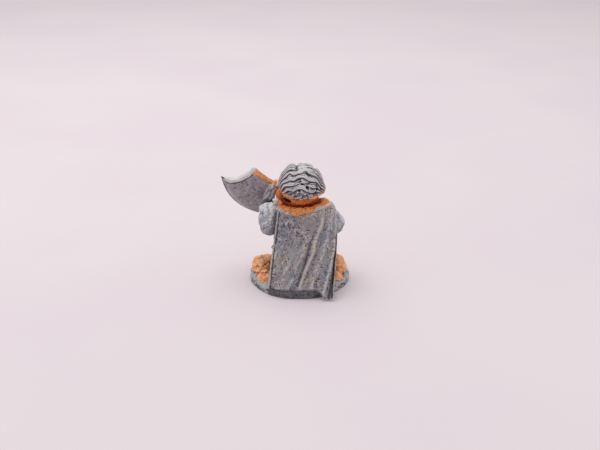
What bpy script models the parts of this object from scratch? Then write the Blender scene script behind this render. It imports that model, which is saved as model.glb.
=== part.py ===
"""Painted gaming miniature: a stout, cloaked axe bearer on a round base, as a kit of castings and pins.

Frame: metres, +Z up, origin at the centre of the base's underside. The figure faces -Y, so its own
left is +X and its cape hangs on the +Y side. Every casting is a separate closed solid. Glued faces
keep a joint gap, and brass pins sit in drilled sockets that bridge those gaps.
"""

import math

import bmesh
import bpy
from mathutils import Matrix, Vector, noise

MM = 0.001


def mm(x, y, z):
    """A place or a size given in millimetres, in metres."""
    return Vector((x, y, z)) * MM


# --- driving dimensions -------------------------------------------------------------------------
GLUE_GAP = 0.1 * MM  # thickness of a glued joint
BASE_RADIUS = 10.0 * MM
BASE_HEIGHT = 1.7 * MM
HIP_Z = 6.6 * MM  # hem of the tunic
WAIST_Z = 9.1 * MM  # where trunk and hips meet, under the belt
NECK_Z = 16.1 * MM  # where head and trunk meet, inside the collar
TRUNK_Y = 0.3 * MM  # the trunk's axis, front to back
TRUNK_DEPTH = 0.78  # depth of the trunk's oval section as a share of its width
PIN_RADIUS = 0.35 * MM
SOCKET_RADIUS = PIN_RADIUS + GLUE_GAP

GROUND_Z = BASE_HEIGHT + GLUE_GAP  # underside of whatever stands on the base
STANCE_X = 3.1 * MM  # each leg's distance from the middle
LEG_Y = 0.3 * MM
TOE_OUT = math.radians(12)

TRUNK_SIDES = 32
LIMB_SIDES = 16
PIN_SIDES = 12
REACH = 12 * MM  # how far a cutter runs past what it cuts

# --- the head -----------------------------------------------------------------------------------
SKULL_CENTRE = mm(-0.5, 0.0, 20.1)
SKULL_RADII = mm(3.65, 3.75, 3.3)
NECK_CENTRE_X = -0.3 * MM
NECK_CENTRE_Y = 0.4 * MM
NECK_WIDTH_RADIUS = 3.55 * MM
NECK_DEPTH_SHARE = 0.91
HAIR_CENTRE = mm(-0.6, 0.45, 20.35)
HAIR_RADII = mm(4.65, 4.45, 3.85)
HAIR_HEM_Z = 18.4 * MM
FACE_WINDOW_CENTRE_Z = 19.2 * MM
FACE_WINDOW_RADIUS = 3.2 * MM
FACE_WINDOW_BACK_Y = -0.9 * MM

# --- the collar: a rolled ring round the neck, lower and closer at the chest ------------------------
COLLAR_CENTRE = mm(-0.35, 0.45, 15.75)
COLLAR_RADIUS = 4.4 * MM
COLLAR_ROLL = 1.0 * MM
COLLAR_NAPE_DEPTH = 3.85 * MM
COLLAR_CHEST_DEPTH = 3.3 * MM
COLLAR_DIP = 0.9 * MM  # how much lower it lies on the chest
COLLAR_TILT = math.radians(3.5)  # and it rides up on the figure's right

# --- the cape: millimetres, as functions of u (its left edge to its right) and v (collar to hem) ---
CAPE_THICKNESS = 0.7 * MM
CAPE_COLUMNS = 20
CAPE_ROWS = 16
CAPE_TOP_Z = 15.3
CAPE_HEM_Z = 1.85

# --- the arms -------------------------------------------------------------------------------------
LEFT_SHOULDER = mm(6.2, 1.0, 14.9)
LEFT_ELBOW = mm(6.2, 1.0, 11.4)
LEFT_WRIST = mm(5.9, -1.1, 17.9)
RIGHT_SHOULDER = mm(-5.1, 0.3, 14.7)
RIGHT_ELBOW = mm(-7.5, -0.2, 12.0)
RIGHT_WRIST = mm(-4.9, -3.3, 10.2)
RIGHT_FIST = mm(-3.55, -4.35, 9.3)
FIST_RADIUS = 1.25 * MM
WRIST_PLUG_RADIUS = 0.6 * MM

# --- the axe: its own frame has +Z up the haft, +X towards the edge, +Y out of its rear face --------
AXE_GRIP = mm(4.64, -3.32, 18.29)
AXE_LEAN = math.radians(25)  # the axe lies back over the shoulder
AXE_TILT = math.radians(45)  # and points up to the figure's left
AXE_TURN = Matrix.Rotation(-AXE_LEAN, 4, "X") @ Matrix.Rotation(AXE_TILT, 4, "Y")
AXE_FRAME = Matrix.Translation(AXE_GRIP) @ AXE_TURN
HAFT_RADIUS = 0.7 * MM
HAFT_TOP = 6.5 * MM
HAFT_BUTT = -8.2 * MM
KNOB_RADIUS = 1.0 * MM
AXE_THICKNESS = 1.6 * MM
AXE_EDGE_SHARE = 0.2  # the cutting edge's thickness as a share of the head's
GRIP_FIST_Z = -0.3 * MM  # the left fist's place along the haft
HEAD_PIN_Z = 4.0 * MM
HEAD_PIN_RADIUS = 0.25 * MM


# --- scene set-up ---------------------------------------------------------------------------------
for leftover in list(bpy.data.objects):
    bpy.data.objects.remove(leftover)

parts = bpy.data.collections.new("painted_miniature_figure")
cutters = bpy.data.collections.new("cutters")
bpy.context.scene.collection.children.link(parts)
bpy.context.scene.collection.children.link(cutters)


def paint(name, colour, roughness, metallic=0.0):
    material = bpy.data.materials.new(name)
    material.use_nodes = True
    shader = material.node_tree.nodes["Principled BSDF"]
    shader.inputs["Base Color"].default_value = (*colour, 1)
    shader.inputs["Roughness"].default_value = roughness
    shader.inputs["Metallic"].default_value = metallic
    return material


CLOTH_GREY = paint("cloth_grey", (0.24, 0.22, 0.24), 0.75)
SLEEVE_GREY = paint("sleeve_grey", (0.36, 0.35, 0.38), 0.75)
HAIR_GREY = paint("hair_grey", (0.26, 0.25, 0.25), 0.7)
FLESH_ORANGE = paint("flesh_orange", (0.58, 0.22, 0.08), 0.65)
GROUND_ORANGE = paint("ground_orange", (0.55, 0.22, 0.09), 0.8)
BASE_GREY = paint("base_grey", (0.29, 0.27, 0.28), 0.7)
BLADE_GREY = paint("blade_grey", (0.20, 0.18, 0.21), 0.5, 0.3)
HAFT_ORANGE = paint("haft_orange", (0.52, 0.20, 0.08), 0.6)
PIN_BRASS = paint("pin_brass", (0.62, 0.46, 0.20), 0.35, 1.0)


# --- shapes ---------------------------------------------------------------------------------------
def add_object(name, mesh_source, material, smooth_degrees=40):
    """An object of the kit, or with no material a cutter or a shape that a Boolean joins on."""
    mesh = bpy.data.meshes.new(name)
    mesh_source.to_mesh(mesh)
    mesh_source.free()
    mesh.shade_smooth()
    mesh.set_sharp_from_angle(angle=math.radians(smooth_degrees))
    made = bpy.data.objects.new(name, mesh)
    if material is None:
        made.hide_render = True
        made.display_type = "WIRE"
        cutters.objects.link(made)
    else:
        mesh.materials.append(material)
        parts.objects.link(made)
    return made


def ellipsoid(name, centre, radii, material=None, sides=20, rings=12, turn=None):
    shape = bmesh.new()
    bmesh.ops.create_uvsphere(shape, u_segments=sides, v_segments=rings, radius=1)
    bmesh.ops.scale(shape, vec=radii, verts=shape.verts)
    if turn is not None:
        bmesh.ops.transform(shape, matrix=turn, verts=shape.verts)
    bmesh.ops.translate(shape, vec=centre, verts=shape.verts)
    return add_object(name, shape, material)


def along(start, end):
    """The matrix that lays +Z on the line from start to end, with its origin at start."""
    return Matrix.Translation(start) @ (end - start).to_track_quat("Z", "Y").to_matrix().to_4x4()


def rod(name, start, end, radius, material=None, sides=PIN_SIDES, end_radius=None):
    length = (end - start).length
    shape = bmesh.new()
    bmesh.ops.create_cone(
        shape,
        cap_ends=True,
        segments=sides,
        radius1=radius,
        radius2=radius if end_radius is None else end_radius,
        depth=length,
    )
    bmesh.ops.translate(shape, vec=(0, 0, length / 2), verts=shape.verts)
    bmesh.ops.transform(shape, matrix=along(start, end), verts=shape.verts)
    return add_object(name, shape, material)


def capsule(name, start, end, start_radius, end_radius, material=None, sides=LIMB_SIDES):
    """A limb: a sphere drawn out between two points, with a radius of its own at each end."""
    length = (end - start).length
    shape = bmesh.new()
    # an odd number of rings leaves no ring at the equator, where the halves part
    bmesh.ops.create_uvsphere(shape, u_segments=sides, v_segments=9, radius=1)
    for vertex in shape.verts:
        if vertex.co.z > 0:
            vertex.co = vertex.co * end_radius + Vector((0, 0, length))
        else:
            vertex.co = vertex.co * start_radius
    bmesh.ops.transform(shape, matrix=along(start, end), verts=shape.verts)
    return add_object(name, shape, material)


def block(name, low, high, material=None):
    shape = bmesh.new()
    bmesh.ops.create_cube(shape, size=1)
    bmesh.ops.scale(shape, vec=high - low, verts=shape.verts)
    bmesh.ops.translate(shape, vec=(low + high) / 2, verts=shape.verts)
    return add_object(name, shape, material)


def smoothed(points, steps):
    """A smooth run through (radius, height) points, as a Catmull-Rom curve."""
    points = [Vector(point) for point in points]
    padded = [points[0], *points, points[-1]]
    run = [points[0]]
    for before, start, end, after in zip(padded, padded[1:], padded[2:], padded[3:]):
        leave = (end - before) / 2
        arrive = (after - start) / 2
        for step in range(1, steps + 1):
            t = step / steps
            between = start.lerp(end, t * t * (3 - 2 * t))
            run.append(between + leave * t * (1 - t) ** 2 - arrive * t * t * (1 - t))
    return run


def turned(name, outline, centre_y, depth_share, material=None, closed=False):
    """An oval turned body. outline is (radius, height) in metres, from the top down its outer side."""
    shape = bmesh.new()
    points = [shape.verts.new((radius, 0, height)) for radius, height in outline]
    for first, second in zip(points, points[1:]):
        shape.edges.new((first, second))
    if closed:
        shape.edges.new((points[-1], points[0]))
    made = add_object(name, shape, material)
    made.location = (0, centre_y, 0)
    made.scale = (1, depth_share, 1)
    screw = made.modifiers.new("turn", "SCREW")
    screw.steps = screw.render_steps = TRUNK_SIDES
    screw.use_merge_vertices = True
    screw.merge_threshold = 0.001 * MM
    return made


def collar_ring(name, roll, material=None):
    """The collar's roll. With a thicker roll it is the cutter for what lies against it."""
    shape = bmesh.new()
    bmesh.ops.create_circle(shape, cap_ends=False, radius=roll, segments=12)
    upright = Matrix.Rotation(math.radians(90), 3, "X")
    bmesh.ops.rotate(shape, cent=(0, 0, 0), matrix=upright, verts=shape.verts)
    bmesh.ops.translate(shape, vec=(COLLAR_RADIUS, 0, 0), verts=shape.verts)
    bmesh.ops.spin(
        shape,
        geom=shape.edges[:],
        cent=(0, 0, 0),
        axis=(0, 0, 1),
        angle=math.tau,
        steps=30,
        use_merge=True,
    )
    bmesh.ops.recalc_face_normals(shape, faces=shape.faces)
    for vertex in shape.verts:
        forward = min(vertex.co.y / COLLAR_RADIUS, 0)
        vertex.co.y *= (COLLAR_CHEST_DEPTH if forward < 0 else COLLAR_NAPE_DEPTH) / COLLAR_RADIUS
        vertex.co.z -= COLLAR_DIP * forward**2
    tilt = Matrix.Rotation(COLLAR_TILT, 3, "Y")
    bmesh.ops.rotate(shape, cent=(0, 0, 0), matrix=tilt, verts=shape.verts)
    bmesh.ops.translate(shape, vec=COLLAR_CENTRE, verts=shape.verts)
    return add_object(name, shape, material)


def combine(target, operation, *others):
    for other in others:
        step = target.modifiers.new(operation.lower(), "BOOLEAN")
        step.operation = operation
        step.object = other
    return target


def join(target, *others):
    return combine(target, "UNION", *others)


def cut(target, *others):
    return combine(target, "DIFFERENCE", *others)


def pin(name, start, end, radius=PIN_RADIUS, material=PIN_BRASS, holders=()):
    """A pin, and the socket for it in each casting that holds it."""
    direction = (end - start).normalized()
    made = rod(name, start, end, radius, material)
    margin = direction * GLUE_GAP
    socket = rod(name + "_socket", start - margin, end + margin, radius + GLUE_GAP)
    for holder in holders:
        cut(holder, socket)
    return made


def grown(radii, gap=GLUE_GAP):
    return Vector(tuple(r + gap for r in radii))


# --- base and ground --------------------------------------------------------------------------------
def make_base():
    base = rod("base_plate", mm(0, 0, 0), Vector((0, 0, BASE_HEIGHT)), BASE_RADIUS, BASE_GREY, sides=48)
    edge = base.modifiers.new("worn rim", "BEVEL")
    edge.width = 0.5 * MM
    edge.segments = 2
    edge.limit_method = "ANGLE"
    return base


RUBBLE = {
    # name: (place on the base, radii), in millimetres
    "rubble_left_large": ((7.6, -0.5), (2.3, 2.9, 2.9)),
    "rubble_left_rear": ((6.9, 4.0), (1.7, 1.5, 1.5)),
    "rubble_left_front": ((6.7, -5.0), (1.2, 1.1, 1.1)),
    "rubble_right_large": ((-7.5, -0.3), (2.25, 2.7, 3.2)),
    "rubble_right_rear": ((-7.0, 4.0), (1.7, 1.3, 1.5)),
    "rubble_right_front": ((-6.7, -4.8), (1.2, 1.2, 1.2)),
}
RUBBLE_ROUGHNESS = 0.16
RUBBLE_LEAN = 0.25  # sideways shift per height, towards the figure's right


def make_rubble(name, place, radii):
    """A lump of rough ground: a dented boulder with a flat underside."""
    shape = bmesh.new()
    bmesh.ops.create_icosphere(shape, subdivisions=2, radius=1)
    for vertex in shape.verts:
        dent = noise.noise(vertex.co * 1.7 + Vector((*place, 0)))
        vertex.co *= 1 - RUBBLE_ROUGHNESS * (0.5 + dent)
    bmesh.ops.scale(shape, vec=mm(*radii), verts=shape.verts)
    for vertex in shape.verts:
        vertex.co.x -= RUBBLE_LEAN * max(vertex.co.z, 0)
    bmesh.ops.translate(shape, vec=mm(*place, 0) + Vector((0, 0, GROUND_Z)), verts=shape.verts)
    flat = bmesh.ops.bisect_plane(
        shape,
        geom=shape.verts[:] + shape.edges[:] + shape.faces[:],
        plane_co=(0, 0, GROUND_Z),
        plane_no=(0, 0, -1),
        clear_outer=True,
    )
    rim = [piece for piece in flat["geom_cut"] if isinstance(piece, bmesh.types.BMEdge)]
    bmesh.ops.edgeloop_fill(shape, edges=rim)
    bmesh.ops.recalc_face_normals(shape, faces=shape.faces)
    return add_object(name, shape, GROUND_ORANGE, smooth_degrees=30)


# --- legs and trunk -----------------------------------------------------------------------------------
def make_boot(side):
    """side is 1 for the figure's left boot and -1 for its right."""
    name = "boot_left" if side > 0 else "boot_right"
    ankle = Vector((side * STANCE_X, LEG_Y, GROUND_Z))
    toe_out = Matrix.Rotation(side * TOE_OUT, 4, "Z")
    foot_centre = ankle + toe_out @ mm(0, -1.6, 0.2)
    boot = ellipsoid(name, foot_centre, mm(1.6, 3.2, 2.0), CLOTH_GREY, turn=toe_out)
    top = Vector((ankle.x, ankle.y, HIP_Z - GLUE_GAP))
    shaft_foot = ankle - mm(0, 0, 0.4)
    shaft = rod(name + "_shaft", shaft_foot, top, 1.5 * MM, sides=LIMB_SIDES, end_radius=1.95 * MM)
    below = block(name + "_sole_plane", mm(-20, -20, -20), Vector((20 * MM, 20 * MM, GROUND_Z)))
    join(boot, shaft)
    return cut(boot, below)


def make_hips():
    """Tunic skirt and breeches, a flared oval that the boots stand under."""
    outline = [(4.3, 9.05), (4.45, 8.4), (4.9, 7.5), (5.25, HIP_Z / MM + 0.15), (5.1, HIP_Z / MM)]
    rows = [(0, WAIST_Z - GLUE_GAP / 2)] + [(r * MM, z * MM) for r, z in outline] + [(0, HIP_Z)]
    return turned("hips", rows, TRUNK_Y, TRUNK_DEPTH, CLOTH_GREY)


TRUNK_OUTLINE = [(2.6, 16.0), (3.5, 15.6), (4.5, 14.7), (4.9, 13.0), (4.6, 11.0), (4.3, 9.5)]


def trunk(name, material, gap=0.0):
    """The tunic from waist to neck. With a gap it is the cutter for what lies against it."""
    low = WAIST_Z + GLUE_GAP / 2 - gap
    side = [(r * MM + gap, z * MM + gap) for r, z in smoothed(TRUNK_OUTLINE, 2)]
    rows = [(0, side[0][1])] + side + [(side[-1][0], low), (0, low)]
    return turned(name, rows, TRUNK_Y, TRUNK_DEPTH, material)


def make_belt():
    inner, outer, low, high = 4.55 * MM, 5.05 * MM, 8.45 * MM, 9.85 * MM
    soft = 0.2 * MM
    rows = [
        (inner, high),
        (outer - soft, high),
        (outer, high - soft),
        (outer, low + soft),
        (outer - soft, low),
        (inner, low),
    ]
    return turned("belt", rows, TRUNK_Y, TRUNK_DEPTH, CLOTH_GREY, closed=True)


def make_buckle():
    face_y = TRUNK_Y - 5.05 * MM * TRUNK_DEPTH - GLUE_GAP
    middle = Vector((0, face_y - 0.3 * MM, 9.15 * MM))
    frame = block("belt_buckle", middle - mm(1.15, 0.3, 0.9), middle + mm(1.15, 0.3, 0.9), BLADE_GREY)
    window = block("buckle_window", middle - mm(0.65, 1, 0.45), middle + mm(0.65, 1, 0.45))
    tongue = block("buckle_tongue", middle - mm(0.9, 0.2, 0.14), middle + mm(0.9, 0.2, 0.14))
    cut(frame, window)
    return join(frame, tongue)


# --- head -------------------------------------------------------------------------------------------
def neck(name, material=None, gap=0.0):
    low = Vector((NECK_CENTRE_X, NECK_CENTRE_Y, NECK_Z + GLUE_GAP / 2 - gap))
    high = Vector((NECK_CENTRE_X, NECK_CENTRE_Y, 19.0 * MM))
    made = rod(name, low, high, NECK_WIDTH_RADIUS + gap, material, sides=24)
    centre = Matrix.Translation(low)
    made.data.transform(centre @ Matrix.Scale(NECK_DEPTH_SHARE, 4, (0, 1, 0)) @ centre.inverted())
    return made


def make_head():
    head = ellipsoid("head", SKULL_CENTRE, SKULL_RADII, FLESH_ORANGE, sides=24, rings=16)
    nose = ellipsoid("nose", SKULL_CENTRE + mm(0, -3.75, -0.6), mm(0.55, 0.7, 0.75), sides=12, rings=8)
    chin = ellipsoid("chin", SKULL_CENTRE + mm(0, -2.5, -2.7), mm(1.6, 1.2, 1.1), sides=16, rings=8)
    return join(head, neck("neck"), chin, nose)


def make_hair():
    hair = ellipsoid("hair", HAIR_CENTRE, HAIR_RADII, HAIR_GREY, sides=28, rings=18)
    skull = ellipsoid("skull_clearance", SKULL_CENTRE, grown(SKULL_RADII), sides=24, rings=16)
    hem = block("hair_hem_plane", mm(-8, -8, 12), Vector((8 * MM, 8 * MM, HAIR_HEM_Z)))
    middle = Vector((SKULL_CENTRE.x, 0, FACE_WINDOW_CENTRE_Z))
    window = rod(
        "face_window",
        middle + Vector((0, -REACH, 0)),
        middle + Vector((0, FACE_WINDOW_BACK_Y, 0)),
        FACE_WINDOW_RADIUS,
        sides=24,
    )
    return cut(hair, skull, neck("neck_clearance", gap=GLUE_GAP), hem, window)


# --- cape -------------------------------------------------------------------------------------------
def eased(value, start, end):
    """0 before start, 1 after end, and a smooth rise between."""
    t = min(max((value - start) / (end - start), 0), 1)
    return t * t * (3 - 2 * t)


def fold_height(u, v):
    """Folds that fan from the figure's right shoulder down to its left hem, in millimetres."""
    lean = math.tau * (u + 0.42 * (v - 0.5))
    depth = 0.32 * eased(v, 0.05, 0.5)
    return depth * (math.sin(2.6 * lean + 0.6) + 0.5 * math.sin(4.55 * lean))


def cape_point(u, v):
    """A point of the cape's outer face. u runs from its left edge to its right, v from collar to hem."""
    left_x = 4.4 + 1.95 * v
    right_x = -(6.5 + 1.0 * math.sin(math.pi * v**0.6))
    across = 2 * u - 1
    middle_y = 4.8 + 4.85 * v**1.3
    if across < 0:
        wrap = 1.6 - 0.5 * v
    else:
        wrap = 3.5 * (1 - v) ** 1.5
    flare = eased(u, 0.7, 0.9) * v**3
    y = middle_y - wrap * abs(across) ** 2.2 + 1.35 * flare
    shoulder = 0.5 * eased(-across, 0, 1) + 1.6 * eased(across, 0, 0.55) + 0.6 * eased(across, 0.6, 1)
    droop = 1.15 * eased(u, 0.78, 0.9) * (1 - 0.4 * eased(u, 0.93, 1.0)) * v**6
    z = CAPE_TOP_Z + (CAPE_HEM_Z - CAPE_TOP_Z) * v + shoulder * (1 - v) ** 2 - droop
    return mm(left_x + (right_x - left_x) * u, y + fold_height(u, v), z)


def cape_face(overrun=0.0):
    """The cape's outer face, with its normals to the rear. An overrun widens it past both side edges."""
    shape = bmesh.new()
    bmesh.ops.create_grid(shape, x_segments=CAPE_COLUMNS, y_segments=CAPE_ROWS, size=0.5)
    for vertex in shape.verts:
        vertex.co = cape_point(vertex.co.x * (1 + 2 * overrun) + 0.5, 0.5 - vertex.co.y)
    bmesh.ops.recalc_face_normals(shape, faces=shape.faces)
    if sum(face.normal.y for face in shape.faces) < 0:
        bmesh.ops.reverse_faces(shape, faces=shape.faces)
    shape.normal_update()
    return shape


def cape_clearance():
    """Everything behind the cape's inner face, with room for the folds and the glue."""
    shape = cape_face(overrun=0.1)
    inward = [-vertex.normal * (CAPE_THICKNESS + 2.5 * GLUE_GAP) for vertex in shape.verts]
    for vertex, step in zip(shape.verts, inward):
        vertex.co += step
    rear = bmesh.ops.extrude_face_region(shape, geom=shape.faces[:], use_keep_orig=True)
    moved = [piece for piece in rear["geom"] if isinstance(piece, bmesh.types.BMVert)]
    bmesh.ops.translate(shape, vec=(0, REACH, 0), verts=moved)
    bmesh.ops.recalc_face_normals(shape, faces=shape.faces)
    return add_object("cape_clearance", shape, None)


def make_cape():
    cape = add_object("cape", cape_face(), CLOTH_GREY)
    shell = cape.modifiers.new("cast thickness", "SOLIDIFY")
    shell.thickness = CAPE_THICKNESS
    shell.offset = -1
    shell.use_even_offset = False
    return cape


# --- arms and hands ---------------------------------------------------------------------------------
def make_left_arm():
    arm = capsule("left_arm", LEFT_SHOULDER, LEFT_ELBOW, 1.8 * MM, 1.85 * MM, SLEEVE_GREY)
    forearm = capsule("left_forearm", LEFT_ELBOW + mm(0, -0.3, 0), LEFT_WRIST, 1.5 * MM, 1.1 * MM)
    return join(arm, forearm)


def make_right_arm():
    arm = capsule("right_arm", RIGHT_SHOULDER, RIGHT_ELBOW, 1.5 * MM, 1.5 * MM, SLEEVE_GREY)
    forearm = capsule("right_forearm", RIGHT_ELBOW, RIGHT_WRIST, 1.5 * MM, 1.2 * MM)
    return join(arm, forearm)


def make_hand(name, fist, wrist, radii, turn, arm):
    """A fist with a wrist plug that sits in a socket in its sleeve."""
    hand = ellipsoid(name, fist, radii, FLESH_ORANGE, sides=16, rings=10, turn=turn)
    inward = (wrist - fist).normalized()
    plug_end = wrist + inward * 0.5 * MM
    join(hand, rod(name + "_plug", fist, plug_end, WRIST_PLUG_RADIUS))
    clearance = ellipsoid(name + "_clearance", fist, grown(radii), sides=16, rings=10, turn=turn)
    socket = rod(name + "_socket", fist, plug_end + inward * GLUE_GAP, WRIST_PLUG_RADIUS + GLUE_GAP)
    cut(arm, clearance, socket)
    return hand


# --- axe --------------------------------------------------------------------------------------------
def make_haft():
    rings = [
        (HAFT_BUTT, 0.55 * MM),
        (HAFT_BUTT + 0.45 * MM, KNOB_RADIUS),
        (HAFT_BUTT + 1.1 * MM, KNOB_RADIUS),
        (HAFT_BUTT + 1.5 * MM, HAFT_RADIUS),
        (HAFT_TOP, HAFT_RADIUS),
    ]
    rows = [(0, HAFT_TOP)] + [(radius, height) for height, radius in reversed(rings)] + [(0, HAFT_BUTT)]
    haft = turned("axe_haft", rows, 0, 1, HAFT_ORANGE)
    haft.modifiers["turn"].steps = haft.modifiers["turn"].render_steps = LIMB_SIDES
    haft.matrix_world = AXE_FRAME
    return haft


def axe_head_point(t, q):
    """A point of the head's middle plane, in millimetres: t from haft to edge, q from heel to upper horn."""
    heel = Vector((8.0 * t, 1.4 - 3.5 * t**1.1))
    upper = Vector((0.2 + 5.7 * t, 6.05 + 0.15 * t + 3.1 * t**3.2))
    bulge = 4 * q * (1 - q) * 1.75 * t**1.5
    return heel.lerp(upper, q) + Vector((0.97, 0.23)) * bulge


def make_axe_head():
    columns, rows = 6, 10
    bevel_start = 0.82
    shape = bmesh.new()
    bmesh.ops.create_grid(shape, x_segments=columns, y_segments=rows, size=0.5)
    thick = []
    for vertex in shape.verts:
        t, q = vertex.co.x + 0.5, vertex.co.y + 0.5
        across, up = axe_head_point(t, q)
        vertex.co = mm(across, 0, up)
        thick.append(1 - 0.15 * t if t < bevel_start else AXE_EDGE_SHARE)
    head = add_object("axe_head", shape, BLADE_GREY)
    head.matrix_world = AXE_FRAME
    weights = head.vertex_groups.new(name="thickness")
    for index, share in enumerate(thick):
        weights.add([index], share, "REPLACE")
    wall = head.modifiers.new("wedge", "SOLIDIFY")
    wall.thickness = AXE_THICKNESS
    wall.offset = 0
    wall.vertex_group = "thickness"
    return head


# --- assembly ---------------------------------------------------------------------------------------
def assemble():
    base = make_base()
    for name, (place, radii) in RUBBLE.items():
        make_rubble(name, place, radii)
    boots = {side: make_boot(side) for side in (1, -1)}
    hips = make_hips()
    torso = trunk("torso", CLOTH_GREY)
    make_belt()
    make_buckle()
    head = make_head()
    make_hair()
    cape = make_cape()

    collar = collar_ring("collar", COLLAR_ROLL, FLESH_ORANGE)
    collar_room = collar_ring("collar_clearance", COLLAR_ROLL + GLUE_GAP)
    cut(torso, collar_room)
    cut(cape, collar_room)
    cut(collar, bpy.data.objects["neck_clearance"])
    base_top = Vector((0, 0, GROUND_Z))
    base_room = rod("base_clearance", mm(0, 0, -2), base_top, BASE_RADIUS + GLUE_GAP, sides=48)
    cut(cape, base_room)

    left_arm = make_left_arm()
    right_arm = make_right_arm()
    trunk_room = trunk("trunk_clearance", None, GLUE_GAP)
    cape_room = cape_clearance()
    cut(torso, cape_room)
    for arm in (left_arm, right_arm):
        cut(arm, trunk_room, collar_room, cape_room)

    left_fist = AXE_FRAME @ Vector((0, 0, GRIP_FIST_Z))
    left_radii = mm(1.3, 1.35, 1.3)
    left_hand = make_hand("left_hand", left_fist, LEFT_WRIST, left_radii, AXE_TURN, left_arm)
    haft_room = rod(
        "haft_clearance",
        AXE_FRAME @ Vector((0, 0, HAFT_BUTT + 1.6 * MM)),
        AXE_FRAME @ Vector((0, 0, HAFT_TOP + REACH)),
        HAFT_RADIUS + GLUE_GAP,
        sides=LIMB_SIDES,
    )
    cut(left_hand, haft_room)
    right_radii = Vector((FIST_RADIUS, FIST_RADIUS, FIST_RADIUS))
    make_hand("right_hand", RIGHT_FIST, RIGHT_WRIST, right_radii, Matrix.Identity(4), right_arm)

    haft = make_haft()
    axe_head = make_axe_head()
    cut(axe_head, haft_room)
    head_pin_line = (Vector((-0.35 * MM, 0, HEAD_PIN_Z)), Vector((2.2 * MM, 0, HEAD_PIN_Z)))
    start, end = (AXE_FRAME @ point for point in head_pin_line)
    pin("axe_head_pin", start, end, HEAD_PIN_RADIUS, holders=(haft, axe_head))

    pin("neck_pin", mm(0, 0.3, 14.2), mm(0, 0.3, 17.8), holders=(torso, head))
    pin("waist_pin", mm(0, 0.3, 7.9), mm(0, 0.3, 10.4), holders=(hips, torso))
    for side, word, arm in ((1, "left", left_arm), (-1, "right", right_arm)):
        shoulder = (mm(side * 3.3, 0.7, 13.6), mm(side * 6.2, 0.7, 13.6))
        pin(f"{word}_shoulder_pin", *shoulder, holders=(torso, arm))
        leg = (mm(side * 3.1, 0.3, 0.7), mm(side * 3.1, 0.3, 7.8))
        pin(f"{word}_leg_pin", *leg, holders=(base, boots[side], hips))
        back = (mm(side * 1.8, 2.4, 12.6), mm(side * 1.8, 4.7, 12.6))
        pin(f"{word}_cape_pin", *back, holders=(torso, cape))


assemble()
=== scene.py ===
"""Looks of a painted cast miniature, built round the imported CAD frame.

Each casting is sculpted as a distance field, or as a shaped surface, in millimetres. Its mesh then carries
"crest" and "basin" attributes, and the paint materials read them to place dark wash in the hollows and pale
dry-brushing on whatever stands proud, the way a real figure is painted.
"""

import math

import bpy
import numpy as np
from mathutils import Matrix, Vector


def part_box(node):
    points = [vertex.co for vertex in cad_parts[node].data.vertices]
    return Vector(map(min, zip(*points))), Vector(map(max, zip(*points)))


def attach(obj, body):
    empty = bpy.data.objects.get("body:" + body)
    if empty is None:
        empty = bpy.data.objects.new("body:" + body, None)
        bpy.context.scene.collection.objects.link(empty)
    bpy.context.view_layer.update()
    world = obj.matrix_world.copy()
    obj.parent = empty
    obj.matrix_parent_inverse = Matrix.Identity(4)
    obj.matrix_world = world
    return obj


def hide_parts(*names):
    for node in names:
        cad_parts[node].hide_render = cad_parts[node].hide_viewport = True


MM = 0.001
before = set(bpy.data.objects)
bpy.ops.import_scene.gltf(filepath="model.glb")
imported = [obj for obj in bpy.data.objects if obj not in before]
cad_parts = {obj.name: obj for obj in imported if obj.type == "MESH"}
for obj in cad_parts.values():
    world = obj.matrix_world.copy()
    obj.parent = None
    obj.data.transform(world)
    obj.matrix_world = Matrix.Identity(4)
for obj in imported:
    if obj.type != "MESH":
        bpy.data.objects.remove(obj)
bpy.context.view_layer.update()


# --- small maths, on arrays of points in millimetres
def single(values):
    return np.asarray(values, np.float32)


def ease(value, start, end):
    """0 at start and 1 at end, with a smooth rise between."""
    t = np.clip((value - start) / (end - start), 0, 1)
    return t * t * (3 - 2 * t)


def lattice(ix, iy, iz, seed):
    """A repeatable number from -1 to 1 for each whole-number place."""
    mixed = ix * np.uint32(374761393) + iy * np.uint32(668265263) + iz * np.uint32(2246822519)
    mixed = mixed + np.uint32(seed * 40503 % 2**32)
    mixed = (mixed ^ (mixed >> np.uint32(13))) * np.uint32(1274126177)
    mixed = (mixed ^ (mixed >> np.uint32(15))) * np.uint32(2246822519)
    mixed = mixed ^ (mixed >> np.uint32(16))
    return mixed.astype(np.float32) / np.float32(2**31) - np.float32(1)


def noise(points, size, seed=0):
    """Smooth value noise from -1 to 1, with features about size across."""
    scaled = points / size + 1000.0
    whole = np.floor(scaled)
    part = (scaled - whole).astype(np.float32)
    weight = part * part * (3 - 2 * part)
    cell = whole.astype(np.int64).astype(np.uint32)
    total = 0
    for a in (0, 1):
        for b in (0, 1):
            for c in (0, 1):
                share = (
                    (weight[:, 0] if a else 1 - weight[:, 0])
                    * (weight[:, 1] if b else 1 - weight[:, 1])
                    * (weight[:, 2] if c else 1 - weight[:, 2])
                )
                corner = (cell[:, 0] + np.uint32(a), cell[:, 1] + np.uint32(b), cell[:, 2] + np.uint32(c))
                total = total + share * lattice(*corner, seed)
    return total


def rough(points, size, seed=0, octaves=3):
    total, strength = 0, 1.0
    for octave in range(octaves):
        total = total + strength * noise(points, size / 1.9**octave, seed + octave)
        strength *= 0.55
    return total


def union(*shapes, soft=0.0):
    """The nearest of several shapes, with a fillet about soft across where they meet."""
    total = shapes[0]
    for shape in shapes[1:]:
        if soft:
            near = np.maximum(soft - np.abs(total - shape), 0) / soft
            total = np.minimum(total, shape) - near * near * soft / 4
        else:
            total = np.minimum(total, shape)
    return total


def common(*shapes, soft=0.0):
    return -union(*[-shape for shape in shapes], soft=soft)


def minus(shape, cutter, soft=0.0):
    return common(shape, -cutter, soft=soft)


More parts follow.
